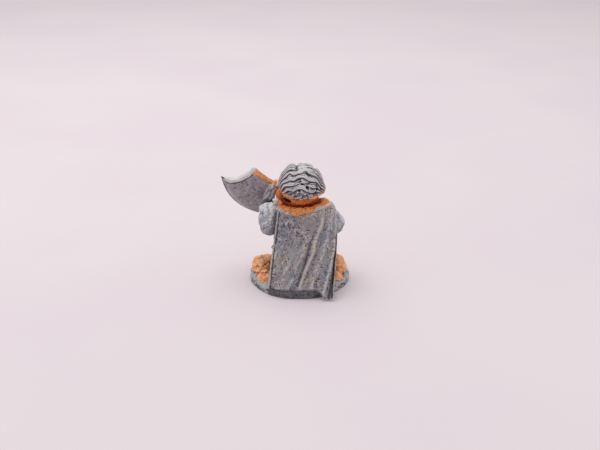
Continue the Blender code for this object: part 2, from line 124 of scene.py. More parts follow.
def egg(p, centre, radii):
    q = p - single(centre)
    radii = single(radii)
    near = np.linalg.norm(q / radii, axis=1)
    steep = np.linalg.norm(q / (radii * radii), axis=1) + 1e-6
    return near * (near - 1) / steep


def limb(p, start, end, start_radius, end_radius=None):
    """A rounded stick whose radius runs evenly from one end to the other."""
    end_radius = start_radius if end_radius is None else end_radius
    start = single(start)
    line = single(end) - start
    q = p - start
    t = np.clip(q @ line / (line @ line), 0, 1)
    return np.linalg.norm(q - t[:, None] * line, axis=1) - (start_radius + (end_radius - start_radius) * t)


def chain(p, stations, soft=0.3):
    """Limbs through ((x, y, z), radius) stations."""
    pieces = [limb(p, a, b, ra, rb) for (a, ra), (b, rb) in zip(stations, stations[1:])]
    return union(*pieces, soft=soft)


def slab(p, centre, half, rounding):
    q = np.abs(p - single(centre)) - (single(half) - rounding)
    return np.linalg.norm(np.maximum(q, 0), axis=1) + np.minimum(q.max(axis=1), 0) - rounding


def oval(p, centre_x, centre_y, depth_share):
    """Distance from an upright axis, measured as on an oval section, and the angle round it from the rear."""
    x = p[:, 0] - centre_x
    y = (p[:, 1] - centre_y) / depth_share
    return np.hypot(x, y), np.arctan2(x, y)


# --- meshing
def skin(field, low, high, step):
    """Surface nets: a closed quad mesh of the surface where field is zero inside a box."""
    low = np.asarray(low, float)
    counts = np.ceil((np.asarray(high, float) - low) / step).astype(int) + 1
    xs, ys, zs = (low[k] + step * np.arange(counts[k]) for k in range(3))
    gy, gz = (g.ravel().astype(np.float32) for g in np.meshgrid(ys, zs, indexing="ij"))
    values = np.empty(counts, np.float32)
    for i, x in enumerate(xs):
        points = np.column_stack([np.full(gy.size, x, np.float32), gy, gz])
        values[i] = field(points).reshape(counts[1], counts[2])
    for k in range(3):
        for end in (0, -1):
            np.moveaxis(values, k, 0)[end] = np.maximum(np.moveaxis(values, k, 0)[end], 0.5 * step)

    inside = values < 0
    corners = [(a, b, c) for a in (0, 1) for b in (0, 1) for c in (0, 1)]
    nx, ny, nz = counts - 1
    total = sum(inside[a : a + nx, b : b + ny, c : c + nz].astype(np.int8) for a, b, c in corners)
    active = (total > 0) & (total < 8)
    index = np.full(counts - 1, -1, np.int64)
    index[active] = np.arange(active.sum())
    cell = np.argwhere(active)
    at = {o: values[cell[:, 0] + o[0], cell[:, 1] + o[1], cell[:, 2] + o[2]] for o in corners}
    place = np.zeros((len(cell), 3))
    crossings = np.zeros(len(cell))
    for first in corners:
        for second in corners:
            if sum(second) - sum(first) != 1 or sum(a != b for a, b in zip(first, second)) != 1:
                continue
            v, w = at[first], at[second]
            crossed = (v < 0) != (w < 0)
            t = np.where(crossed, v / np.where(crossed, v - w, 1), 0)
            spot = np.asarray(first) + t[:, None] * (np.asarray(second) - np.asarray(first))
            place += np.where(crossed[:, None], spot, 0)
            crossings += crossed
    verts = low + step * (cell + place / crossings[:, None])

    quads = []
    for k in range(3):
        m, n = (k + 1) % 3, (k + 2) % 3
        solid = np.moveaxis(inside, (k, m, n), (0, 1, 2))
        grid = np.moveaxis(index, (k, m, n), (0, 1, 2))
        here, there = solid[:-1, 1:-1, 1:-1], solid[1:, 1:-1, 1:-1]
        for leaving, order in ((here & ~there, 1), (there & ~here, -1)):
            a, b, c = np.argwhere(leaving).T
            ring = [grid[a, b, c], grid[a, b + 1, c], grid[a, b + 1, c + 1], grid[a, b, c + 1]]
            quads.append(np.column_stack(ring[::order]))
    quads = np.concatenate(quads)

    slope = np.empty((len(verts), 3))
    small = 0.3 * step
    for k in range(3):
        nudge = np.zeros(3)
        nudge[k] = small
        slope[:, k] = (field(single(verts + nudge)) - field(single(verts - nudge))) / (2 * small)
    away = field(single(verts)) / np.maximum((slope**2).sum(1), 0.04)
    move = np.clip(away, -0.5 * step, 0.5 * step)[:, None] * slope
    return verts - move, quads


def sheet(columns, rows):
    """Two parameters from 0 to 1 over a grid, the grid of vertex numbers, and the loop of them round its rim."""
    steps = np.meshgrid(np.linspace(0, 1, columns), np.linspace(0, 1, rows), indexing="ij")
    grid = np.arange(columns * rows).reshape(columns, rows)
    loop = np.concatenate([grid[:, 0], grid[-1, 1:], grid[-2::-1, -1], grid[0, -2:0:-1]])
    return steps[0].ravel(), steps[1].ravel(), grid, loop


def spread(values, pairs, size):
    """The mean of each vertex's neighbours."""
    counts = np.bincount(pairs.ravel(), minlength=size)
    total = np.empty_like(values)
    for k in range(values.shape[1]):
        total[:, k] = np.bincount(pairs[:, 0], values[pairs[:, 1], k], size)
        total[:, k] += np.bincount(pairs[:, 1], values[pairs[:, 0], k], size)
    return total / np.maximum(counts, 1)[:, None]


def edges_of(quads):
    pairs = np.concatenate([quads[:, [0, 1]], quads[:, [1, 2]], quads[:, [2, 3]], quads[:, [3, 0]]])
    pairs.sort(axis=1)
    return np.unique(pairs, axis=0)


def normals_of(verts, quads):
    across = np.cross(verts[quads[:, 2]] - verts[quads[:, 0]], verts[quads[:, 3]] - verts[quads[:, 1]])
    total = np.empty_like(verts)
    for k in range(3):
        total[:, k] = np.bincount(quads.ravel(), np.repeat(across[:, k], 4), len(verts))
    return total / np.maximum(np.linalg.norm(total, axis=1), 1e-9)[:, None]


def relief(verts, quads, reaches):
    """For each reach, how far each vertex stands proud of the surface smoothed over that reach."""
    pairs = edges_of(quads)
    edge = np.linalg.norm(verts[pairs[:, 0]] - verts[pairs[:, 1]], axis=1).mean()
    normal = normals_of(verts, quads)
    calm, done, found = verts, 0, []
    for reach in reaches:
        rounds = max(2, round(3.3 * (reach / edge) ** 2))
        while done < rounds:
            calm = 0.4 * calm + 0.6 * spread(calm, pairs, len(verts))
            done += 1
        height = ((verts - calm) * normal).sum(1)
        usual = max(1.5 * np.median(np.abs(height)), 0.05 * reach)
        found.append(height / usual)
    return found


def raised(verts, quads, height):
    """The mesh with each vertex moved out along its normal."""
    return verts + normals_of(verts, quads) * height[:, None]


def cast_skin(verts, quads, seed, grain=0.03, lumps=0.04):
    """The slightly rough skin of a small casting under hand-brushed paint."""
    p = single(verts)
    return raised(verts, quads, grain * rough(p, 0.38, seed, 2) + lumps * noise(p, 1.1, seed + 7))


def add_piece(name, verts, quads, material, stands_for, masks=None, stain_and_painted_light=0.0):
    """A mesh object. The last argument, negative to darken and positive to pale, holds paint marks and painted shade
    and highlight.
    """
    mesh = bpy.data.meshes.new(name)
    mesh.vertices.add(len(verts))
    mesh.vertices.foreach_set("co", single(verts * MM).ravel())
    mesh.loops.add(quads.size)
    mesh.loops.foreach_set("vertex_index", quads.astype(np.int32).ravel())
    mesh.polygons.add(len(quads))
    mesh.polygons.foreach_set("loop_start", np.arange(0, quads.size, 4, dtype=np.int32))
    mesh.polygons.foreach_set("use_smooth", np.ones(len(quads), bool))
    mesh.update(calc_edges=True)
    mesh.validate()
    crest, basin = relief(verts, quads, (0.13, 0.42))
    layers = {"crest": crest, "basin": np.clip(basin, -3, 3) + stain_and_painted_light, **(masks or {})}
    for label, values in layers.items():
        layer = mesh.attributes.new(label, "FLOAT", "POINT")
        layer.data.foreach_set("value", single(np.clip(values, -6, 6)))
    mesh.materials.append(material)
    piece = bpy.data.objects.new(name, mesh)
    bpy.context.scene.collection.objects.link(piece)
    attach(piece, "root")
    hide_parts(*stands_for)
    return piece


# --- materials
def linear(red, green, blue):
    channels = [c / 255 for c in (red, green, blue)]
    return (*[c / 12.92 if c <= 0.04045 else ((c + 0.055) / 1.055) ** 2.4 for c in channels], 1)


def node(tree, kind, inputs=None, **settings):
    made = tree.nodes.new(kind)
    for key, value in settings.items():
        setattr(made, key, value)
    for key, value in (inputs or {}).items():
        if isinstance(value, bpy.types.NodeSocket):
            tree.links.new(value, made.inputs[key])
        else:
            made.inputs[key].default_value = value
    return made


def maths(tree, operation, first, second=0.0, third=0.0):
    return node(tree, "ShaderNodeMath", {0: first, 1: second, 2: third}, operation=operation).outputs[0]


def step_up(tree, value, low, high):
    limits = {"Value": value, "From Min": low, "From Max": high}
    return node(tree, "ShaderNodeMapRange", limits, interpolation_type="SMOOTHSTEP").outputs[0]


def mixed(tree, factor, first, second):
    sockets = {0: factor, 6: first, 7: second}
    return node(tree, "ShaderNodeMix", sockets, data_type="RGBA", clamp_factor=True).outputs[2]


def attribute(tree, name):
    return node(tree, "ShaderNodeAttribute", attribute_name=name).outputs["Fac"]


def speckle(tree, place, size_mm, detail=2.0, distortion=0.0):
    inputs = {"Vector": place, "Scale": 1000 / size_mm, "Detail": detail, "Distortion": distortion}
    return node(tree, "ShaderNodeTexNoise", inputs).outputs["Fac"]


def coat(tree, place, crest, basin, look, seed):
    """One paint scheme as colour and shine: mottled base, wash in the hollows, dry-brush on the crests."""
    shift = (seed * 0.013, seed * 0.007, 0)
    shifted = node(tree, "ShaderNodeMapping", {"Vector": place, "Location": shift}).outputs[0]
    broad = speckle(tree, shifted, look.get("mottle_mm", 1.5))
    fine = speckle(tree, shifted, 0.4, detail=3.0, distortion=0.5)
    gritty = speckle(tree, shifted, 0.19, detail=1.5)
    grain = maths(tree, "MULTIPLY", maths(tree, "SUBTRACT", fine, 0.5), 8.0)
    grit = maths(tree, "MULTIPLY", maths(tree, "SUBTRACT", gritty, 0.5), 8.0)
    if "patchy" in look:
        patch = step_up(tree, speckle(tree, shifted, 3.2), 0.44, 0.6)
        patch = maths(tree, "MULTIPLY_ADD", patch, look["patchy"], 0.45)
        grain = maths(tree, "MULTIPLY", grain, patch)
        grit = maths(tree, "MULTIPLY", grit, patch)
    colour = mixed(tree, step_up(tree, broad, 0.38, 0.62), linear(*look["main"]), linear(*look["second"]))
    tinted = maths(tree, "MULTIPLY", step_up(tree, fine, 0.48, 0.66), 0.6)
    colour = mixed(tree, tinted, colour, linear(*look["tint"]))
    if "streak" in look:
        slant = {"Vector": shifted, "Rotation": (0, -0.37, 0), "Scale": (1, 1, 6)}
        fallen = node(tree, "ShaderNodeMapping", slant, vector_type="TEXTURE").outputs[0]
        runs = step_up(tree, speckle(tree, fallen, 0.9, detail=3.0), 0.47, 0.62)
        amount = maths(tree, "MULTIPLY", runs, step_up(tree, speckle(tree, shifted, 4.0), 0.42, 0.56))
        colour = mixed(tree, maths(tree, "MULTIPLY", amount, 0.75), colour, linear(*look["streak"]))
        cool = step_up(tree, speckle(tree, fallen, 2.2, detail=3.0), 0.5, 0.62)
        colour = mixed(tree, maths(tree, "MULTIPLY", cool, 0.65), colour, linear(*look["cool"]))

    # Faces turned upwards take more of the pale dry-brush, which is real paint and also painted top light.
    facing = node(tree, "ShaderNodeNewGeometry").outputs["Normal"]
    facing = node(tree, "ShaderNodeSeparateXYZ", {0: facing}).outputs["Z"]
    tone = maths(tree, "MULTIPLY", crest, look.get("fine_relief", 0.55))
    tone = maths(tree, "MULTIPLY_ADD", basin, look.get("broad_relief", 0.75), tone)
    tone = maths(tree, "MULTIPLY_ADD", grain, look.get("grain", 0.5), tone)
    tone = maths(tree, "MULTIPLY_ADD", grit, look.get("grit", 0.35), tone)
    high = maths(tree, "MULTIPLY_ADD", facing, look.get("brush_and_top_light", 0.35), tone)
    brush = step_up(tree, high, look.get("brush_start", 0.55), look.get("brush_full", 1.7))
    brush = maths(tree, "MULTIPLY", brush, look.get("brush", 0.75))
    colour = mixed(tree, brush, colour, linear(*look["pale"]))
    wash = step_up(tree, tone, look.get("wash_start", -0.5), look.get("wash_full", -1.6))
    wash = maths(tree, "MULTIPLY", wash, look.get("wash", 0.9))
    colour = mixed(tree, wash, colour, linear(*look["dark"]))

    if "flecks" in look:
        spots = speckle(tree, shifted, 0.8, detail=2.0)
        which = speckle(tree, shifted, 3.0, detail=0.0)
        red, ochre = look["flecks"]
        fleck = mixed(tree, step_up(tree, which, 0.48, 0.52), linear(*red), linear(*ochre))
        amount = maths(tree, "MULTIPLY", step_up(tree, spots, 0.64, 0.7), 0.7)
        colour = mixed(tree, amount, colour, fleck)
    shine = maths(tree, "MULTIPLY_ADD", fine, 0.16, look.get("roughness", 0.62) - 0.08)
    return colour, shine


def painted(name, look, *overs, seed):
    """A matt acrylic. Each (scheme, mask) pair lies over the last wherever its mask attribute is 1."""
    material = bpy.data.materials.new(name)
    material.use_nodes = True
    tree = material.node_tree
    shader = tree.nodes["Principled BSDF"]
    place = node(tree, "ShaderNodeTexCoord").outputs["Object"]
    crest, basin = attribute(tree, "crest"), attribute(tree, "basin")
    colour, shine = coat(tree, place, crest, basin, look, seed)
    for order, (over, mask) in enumerate(overs):
        second, second_shine = coat(tree, place, crest, basin, over, seed + 3 + order)
        wander = maths(tree, "SUBTRACT", speckle(tree, place, 0.9), 0.5)
        ragged = maths(tree, "MULTIPLY_ADD", wander, 1.1, attribute(tree, mask))
        amount = step_up(tree, ragged, 0.42, 0.58)
        colour = mixed(tree, amount, colour, second)
        shine = node(tree, "ShaderNodeMix", {0: amount, 2: shine, 3: second_shine}, data_type="FLOAT").outputs[0]
    tree.links.new(colour, shader.inputs["Base Color"])
    tree.links.new(shine, shader.inputs["Roughness"])
    shader.inputs["Metallic"].default_value = look.get("metallic", 0.0)
    shader.inputs["Specular IOR Level"].default_value = 0.35
    grain = maths(tree, "MULTIPLY_ADD", speckle(tree, place, 0.12, detail=3.0), 0.6, speckle(tree, place, 0.35))
    bump = node(tree, "ShaderNodeBump", {"Height": grain, "Strength": 0.35, "Distance": 0.00005})
    tree.links.new(bump.outputs[0], shader.inputs["Normal"])
    return material


CLOTH = dict(
    main=(140, 134, 137), second=(153, 151, 158), tint=(160, 152, 147), dark=(56, 42, 56),
    pale=(214, 208, 202), streak=(180, 168, 150), cool=(124, 125, 142),
    flecks=((128, 68, 62), (138, 112, 66)), mottle_mm=2.2, patchy=1.25, brush=0.6, brush_start=0.6,
    wash=0.75, wash_start=-0.7, wash_full=-2.1, grain=0.5, grit=0.5, fine_relief=0.4, broad_relief=0.35,
)
SLEEVE = dict(
    main=(154, 151, 160), second=(172, 172, 181), tint=(138, 134, 142), dark=(66, 58, 70),
    pale=(226, 227, 231), streak=(204, 206, 214), cool=(146, 150, 166), brush=0.85, brush_start=0.5,
    grain=0.45, grit=0.4, broad_relief=0.6,
)
HAIR = dict(
    main=(120, 113, 122), second=(144, 138, 147), tint=(102, 94, 104), dark=(24, 20, 30),
    pale=(218, 214, 214), brush=0.85, brush_and_top_light=1.3, brush_start=0.8, brush_full=2.3, wash_start=-0.2,
    wash_full=-1.3, wash=0.95, grain=0.35,
)
ORANGE = dict(
    main=(230, 140, 70), second=(238, 158, 94), tint=(210, 112, 50), dark=(112, 50, 28),
    pale=(246, 206, 172), brush=0.6, wash=0.8,
)
STONE = dict(
    ORANGE, main=(240, 156, 92), second=(246, 172, 112), tint=(222, 128, 66), pale=(252, 216, 180),
    brush=0.75, wash=0.7,
)
# dark red painted shade for the recesses round the neck and inside the collar
SHADE_RED = dict(
    main=(158, 54, 20), second=(176, 68, 26), tint=(138, 44, 18), dark=(52, 18, 12), pale=(190, 88, 40),
    brush=0.4,
)
# dark painted shade for turned edges: the cape's side edges and the line under the axe's pale band
EDGE_SHADE = dict(
    main=(66, 46, 54), second=(78, 62, 72), tint=(98, 50, 48), dark=(30, 20, 28), pale=(124, 108, 104),
    brush=0.3,
)
BASE_GREY = dict(
    main=(118, 114, 119), second=(142, 142, 147), tint=(94, 88, 94), dark=(44, 40, 48),
    pale=(200, 199, 202), brush=0.65, brush_and_top_light=0.15, wash_start=-0.2, wash_full=-1.2, grain=1.1, grit=0.8,
)
SHADE = dict(
    main=(86, 80, 88), second=(70, 66, 76), tint=(104, 98, 104), dark=(34, 30, 38), pale=(138, 134, 138),
    brush=0.35, wash=0.7, wash_start=-0.9, wash_full=-2.2, grain=0.8, grit=0.6, broad_relief=0.5,
)
BLADE = dict(
    main=(151, 144, 150), second=(170, 166, 174), tint=(136, 127, 127), dark=(64, 57, 66),
    pale=(184, 178, 172), streak=(158, 148, 138), cool=(128, 128, 144), brush=0.5, wash=0.7,
    wash_start=-0.9, wash_full=-2.2, grit=0.9, grain=1.05, roughness=0.5, metallic=0.1,
)
# pale chalky paint, laid on the axe as a painted highlight over dry-brush
CHALK_HIGHLIGHT = dict(
    main=(184, 178, 177), second=(206, 202, 199), tint=(150, 143, 145), dark=(92, 84, 88),
    pale=(236, 234, 232), brush=0.5, brush_and_top_light=0.1, wash_start=-0.3, grain=1.1, grit=0.8,
)
BRASS = dict(
    main=(176, 146, 84), second=(160, 130, 72), tint=(190, 162, 98), dark=(90, 70, 36),
    pale=(206, 182, 120), metallic=1.0, roughness=0.36, brush=0.2,
)


BASE_RADIUS = 9.9
LEG_X, LEG_Y = 3.1, 0.3
BELT_Z = 9.15
HEAD_X, EYE_Z = -0.5, 19.98
COLLAR_X, COLLAR_Y, COLLAR_RADIUS = -0.35, 0.45, 4.4
HAIR_CENTRE = single((-0.6, 0.45, 20.35))
HAIR_RADII = single((4.65, 4.45, 3.85))
KNOB = (4.55, 1.05, 17.15)
KNOB_RADII = (0.7, 0.42, 0.34)
HAIR_SPOT = (-3.79, 2.47, 22.54)
TRUNK_Y, TRUNK_DEPTH = 0.3, 0.78
GROUND = 1.75
HOLE = (2.7, 2.9, 17.68)
HOLE_RADII = (1.2, 1.5, 0.43)
AXE = (
    Matrix.Translation((4.64, -3.32, 18.29))
    @ Matrix.Rotation(math.radians(-25), 4, "X")
    @ Matrix.Rotation(math.radians(45), 4, "Y")
)
AXE_TURN = single(AXE.to_3x3())
AXE_PLACE = single(AXE.translation)


def to_axe(p):
    return (p - AXE_PLACE) @ AXE_TURN


def from_axe(p):
    return p @ AXE_TURN.T + AXE_PLACE


# --- base and rubble
def base_field(p):
    across = np.hypot(p[:, 0], p[:, 1])
    angle = np.arctan2(p[:, 0], p[:, 1])
    around = np.column_stack([np.cos(angle) * 4, np.sin(angle) * 4, np.zeros_like(angle)]).astype(np.float32)
    rim = BASE_RADIUS + 0.12 * noise(around, 1.3, 3)
    top = 1.62 + 0.16 * rough(p * (1, 1, 0), 2.2, 11, 2) * ease(rim - across, 0.2, 2.0)
    return common(common(across - rim, p[:, 2] - top, soft=0.9), -p[:, 2], soft=0.12)


def make_base():
    verts, quads = skin(base_field, (-10.6, -10.6, -0.3), (10.6, 10.6, 2.3), 0.11)
    low = ease(verts[:, 2], 0.05, 0.3)
    p = single(verts)
    verts = raised(verts, quads, low * (0.075 * rough(p, 0.45, 5, 2) + 0.11 * noise(p, 1.1, 9)))
    verts[:, 2] = np.maximum(verts[:, 2], 0.0)
    across = np.hypot(verts[:, 0], verts[:, 1])
    inner = ease(8.9 - across + 0.55 * noise(p, 1.5, 21), -0.35, 0.35) * ease(verts[:, 2], 1.0, 1.4)
    earth = dict(ORANGE, wash=0.5, wash_start=-1.2, grain=0.35)
    look = painted("base_paint", BASE_GREY, (earth, "ground"), (SHADE, "shade"), seed=2)
    # The shade coat on the rear wall, under the cape's overhang, is painted shade; the rest of the wall is painted
    # darker towards its foot as shade, with a dark painted contact shadow along the bottom.
    rear = ease(verts[:, 1] - 0.25 * np.abs(verts[:, 0]), 5.2, 7.4)
    shade = rear * ease(1.75 - verts[:, 2] + 0.8 * rear, 0, 0.6)
    side = -0.9 * (1 - rear) * ease(1.3 - verts[:, 2], -0.15, 0.35)
    side -= 2.0 * ease(0.45 - verts[:, 2], 0, 0.3)
    masks = {"ground": inner, "shade": shade}
    add_piece("base", verts, quads, look, ["base_plate"], masks, side)


def rubble_field(low, high, seed):
    """A lump of broken ground that fills its CAD node's box."""
    centre = (low + high) / 2
    centre[2] = GROUND - 0.1
    radii = (high - low) / 2
    radii[2] = high[2] - centre[2]

    def field(p):
        lump = egg(p, centre, radii)
        lump = lump + 0.3 * np.abs(noise(p, 1.4, seed)) + 0.22 * noise(p, 0.75, seed + 1) - 0.12
        level = (p @ single((0.16, 0.1, 0.98)) + 0.25 * noise(p, 1.6, seed + 2)) * 0.85 + 0.2 * seed
        ledges = 0.3 * (level % 1) ** 2
        return common(lump + ledges, GROUND - 0.45 - p[:, 2])

    return field


def make_rubble():
    look = painted("rubble_paint", STONE, seed=4)
    for order, name in enumerate(sorted(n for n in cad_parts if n.startswith("rubble"))):
        low, high = (single(corner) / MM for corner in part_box(name))
        field = rubble_field(low, high, 31 + order * 5)
        verts, quads = skin(field, low - 0.3, high + 0.3, 0.1)
        verts = cast_skin(verts, quads, 50 + order, 0.08, 0.08)
        verts[:, 2] = np.maximum(verts[:, 2], 0.6)
        add_piece(name.replace("rubble", "ground"), verts, quads, look, [name])


# --- legs, tunic and belt
def make_boots():
    look = painted("boot_paint", CLOTH, seed=6)
    for side, word in ((1, "left"), (-1, "right")):
        angle = math.radians(12) * side
        turn = single(Matrix.Rotation(angle, 3, "Z"))

        def field(p):
            q = (p - single((side * LEG_X, LEG_Y, 0))) @ turn
            foot = union(
                egg(q, (0, -2.7, 2.35), (1.45, 2.0, 1.35)),
                egg(q, (0, 0.1, 2.4), (1.4, 1.5, 1.4)),
                soft=0.9,
            )
            shaft = limb(p, (side * LEG_X, LEG_Y, 2.4), (side * LEG_X, LEG_Y, 6.5), 1.45, 1.85)
            creases = 0.1 * np.sin(q[:, 2] * 5.2 + q[:, 1] * 1.6)
            creases = creases * ease(q[:, 2], 2.6, 3.4) * ease(5.0 - q[:, 2], 0, 0.8)
            boot = union(foot, shaft, soft=0.8) + creases
            cuff_radius, _ = oval(p, side * LEG_X, LEG_Y, 1.0)
            cuff = np.hypot(cuff_radius - 1.72, (p[:, 2] - 5.3) * 0.6) - 0.33
            sole = common(foot - 0.16, np.abs(p[:, 2] - 1.75) - 0.3, soft=0.1)
            return common(union(boot, cuff, sole, soft=0.12), GROUND - 0.15 - p[:, 2], soft=0.05)

        verts, quads = skin(field, (side * LEG_X - 2.6, -5.6, 1.3), (side * LEG_X + 2.6, 2.8, 7.4), 0.1)
        verts = cast_skin(verts, quads, 60 + side)
        add_piece("boot_sculpt_" + word, verts, quads, look, ["boot_" + word])


TUNIC_Z = np.array((6.4, 6.8, 7.6, 8.4, 9.2, 10.0, 11.0, 13.0, 14.4, 15.3, 15.9, 16.4))
TUNIC_RADIUS = np.array((5.2, 5.2, 4.85, 4.5, 4.35, 4.4, 4.65, 4.9, 4.6, 3.9, 3.0, 2.2))


def tunic_field(p):
    z = p[:, 2]
    across, angle = oval(p, 0, TRUNK_Y, TRUNK_DEPTH)
    radius = np.interp(z, TUNIC_Z, TUNIC_RADIUS)
    skirt = ease(8.6 - z, 0, 2.0)
    folds = 0.24 * skirt * (np.sin(angle * 9 + 0.7) + 0.4 * np.sin(angle * 17 + 2))
    gathers = 0.09 * ease(11.4 - z, 0, 1.6) * ease(z, 9.0, 9.8) * np.sin(angle * 21 + 3 * np.sin(angle * 2))
    drag = 0.08 * np.sin(2.4 * z + 3.0 * np.abs(angle - 2.6)) * ease(z, 10.6, 11.6) * ease(15 - z, 0, 1)
    return (across - radius - folds - gathers - drag) * 0.8


def make_trunk():
    def skirt(p):
        body = tunic_field(p)
        hem = np.abs(p[:, 2] - 6.85 - 0.1 * np.sin(np.arctan2(p[:, 0], p[:, 1]) * 9)) - 0.18
        body = union(body, common(body - 0.12, hem, soft=0.05), soft=0.05)
        return common(body, 6.55 - p[:, 2], p[:, 2] - 9.1, soft=0.15)

    def chest(p):
        body = tunic_field(p)
        front = ease(-p[:, 1], 1.5, 2.5)
        placket = np.abs(p[:, 0] + 0.1) - 0.45
        body = union(body, common(body - 0.12, placket, soft=0.06), soft=0.04) * front + body * (1 - front)
        for height in (10.8, 12.2, 13.6):
            radius = float(np.interp(height, TUNIC_Z, TUNIC_RADIUS)) * TRUNK_DEPTH
            body = union(body, egg(p, (-0.1, TRUNK_Y - radius - 0.12, height), (0.26, 0.2, 0.26)), soft=0.06)
        return common(body, 9.05 - p[:, 2], p[:, 2] - 16.1, soft=0.15)

    look = painted("tunic_paint", CLOTH, seed=8)
    verts, quads = skin(skirt, (-6.2, -4.8, 6.2), (6.2, 5.4, 9.4), 0.1)
    add_piece("tunic_skirt", cast_skin(verts, quads, 71), quads, look, ["hips"])
    verts, quads = skin(chest, (-5.6, -4.4, 8.8), (5.6, 4.9, 16.4), 0.1)
    verts[:, 1] = np.minimum(verts[:, 1], 3.55)
    add_piece("tunic", cast_skin(verts, quads, 72), quads, look, ["torso"])


def make_belt():
    leather = dict(CLOTH, main=(92, 80, 82), second=(104, 92, 92), tint=(84, 72, 76), pale=(160, 148, 140))

    def belt(p):
        across, _ = oval(p, 0, TRUNK_Y, TRUNK_DEPTH)
        band = np.maximum(np.abs(across - 4.78) * 0.85 - 0.24, np.abs(p[:, 2] - BELT_Z) - 0.62)
        edge = np.minimum(np.abs(p[:, 2] - 9.62), np.abs(p[:, 2] - 8.68))
        rims = np.hypot(np.abs(across - 4.95) * 0.85, edge) - 0.13
        return union(band, rims, soft=0.08)

    verts, quads = skin(belt, (-5.6, -4.4, 8.3), (5.6, 5.0, 10.0), 0.09)
    look = painted("belt_paint", leather, seed=10)
    add_piece("belt_sculpt", cast_skin(verts, quads, 75, 0.02, 0.02), quads, look, ["belt"])

    def buckle(p):
        face = -4.0
        plate = slab(p, (0, face, BELT_Z), (1.12, 0.24, 0.86), 0.2)
        window = slab(p, (0, face, BELT_Z), (0.66, 1.0, 0.44), 0.12)
        bar = limb(p, (-0.8, face - 0.1, BELT_Z), (0.75, face - 0.14, BELT_Z), 0.13)
        return union(minus(plate, window, soft=0.1), bar, soft=0.06)

    verts, quads = skin(buckle, (-1.5, -4.6, 8.0), (1.5, -3.5, 10.3), 0.06)
    verts = cast_skin(verts, quads, 76, 0.012, 0.01)
    gilt = dict(ORANGE, main=(196, 132, 70), pale=(240, 206, 150), metallic=0.4)
    look = painted("buckle_paint", gilt, seed=11)
    add_piece("buckle_sculpt", verts, quads, look, ["belt_buckle"])


# --- head, neck, collar and hair
def head_field(p):
    x = p[:, 0] - HEAD_X
    side = np.column_stack([np.abs(x), p[:, 1], p[:, 2]]).astype(np.float32)
    skull = egg(side, (0, 0, 20.1), (3.55, 3.6, 3.3))
    jaw = egg(side, (0, -1.5, 18.1), (2.75, 2.05, 1.75))
    chin = egg(side, (0, -3.05, 17.15), (0.95, 0.65, 0.6))
    cheek = egg(side, (1.45, -2.75, 18.95), (0.95, 0.8, 0.8))
    head = union(skull, jaw, soft=1.2)
    head = union(head, cheek, soft=0.7)
    head = union(head, chin, soft=0.6)
    socket = egg(side, (1.25, -3.75, 20.0), (0.78, 0.55, 0.48))
    head = minus(head, socket, soft=0.4)
    eye = egg(side, (1.22, -3.1, 19.97), (0.5, 0.42, 0.33))
    head = union(head, eye, soft=0.06)
    upper_lid = limb(side, (0.75, -3.42, 20.14), (1.25, -3.56, 20.3), 0.1)
    upper_lid = union(upper_lid, limb(side, (1.25, -3.56, 20.3), (1.8, -3.24, 20.08), 0.1))
    lower_lid = union(
        limb(side, (0.8, -3.4, 19.85), (1.25, -3.5, 19.68), 0.08),
        limb(side, (1.25, -3.5, 19.68), (1.75, -3.24, 19.86), 0.08),
    )
    brow = union(
        limb(side, (0.55, -3.62, 20.78), (1.3, -3.56, 20.98), 0.17, 0.16),
        limb(side, (1.3, -3.56, 20.98), (2.1, -3.0, 20.72), 0.16, 0.1),
    )
    head = union(head, upper_lid, lower_lid, soft=0.08)
    head = union(head, brow, soft=0.2)
    nose = union(
        limb(side, (0, -3.5, 20.5), (0, -4.12, 19.1), 0.26, 0.36),
        egg(side, (0.33, -3.85, 18.92), (0.24, 0.32, 0.22)),
        soft=0.2,
    )
    head = union(head, nose, soft=0.25)
    lips = union(
        egg(side, (0.22, -3.62, 18.22), (0.5, 0.2, 0.13)),
        egg(side, (0, -3.6, 17.95), (0.55, 0.22, 0.15)),
        soft=0.03,
    )
    head = union(head, lips, soft=0.1)
    head = minus(head, limb(side, (0, -3.86, 18.09), (0.8, -3.5, 18.11), 0.06), soft=0.06)
    ear = egg(side, (3.55, -0.35, 19.5), (0.35, 0.62, 0.85))
    ear = minus(ear, egg(side, (3.95, -0.5, 19.55), (0.3, 0.32, 0.5)), soft=0.12)
    head = union(head, ear, soft=0.12)

    across, angle = oval(p, -0.3, 0.4, 0.92)
    z = p[:, 2]
    rear = ease(np.cos(angle), -0.3, 0.5)
    thick = np.interp(z, (15.6, 16.4, 16.95, 17.5, 18.1, 18.9), (3.3, 3.25, 3.5, 3.85, 3.78, 3.4))
    thin = np.interp(z, (15.8, 17.0, 18.9), (3.0, 2.7, 2.6))
    neck = (across - (thin + (thick - thin) * rear)) * 0.9
    neck = common(neck, z - 18.9, 15.7 - z, soft=0.25)
    lock = chain(p, [((3.3, 0.3, 19.0), 0.7), ((3.7, 0.45, 18.1), 0.8), ((3.9, 0.6, 17.1), 0.62)], 0.3)
    hole = egg(p, HOLE, HOLE_RADII)
    return minus(union(head, neck, lock, soft=0.35), hole, soft=0.1)


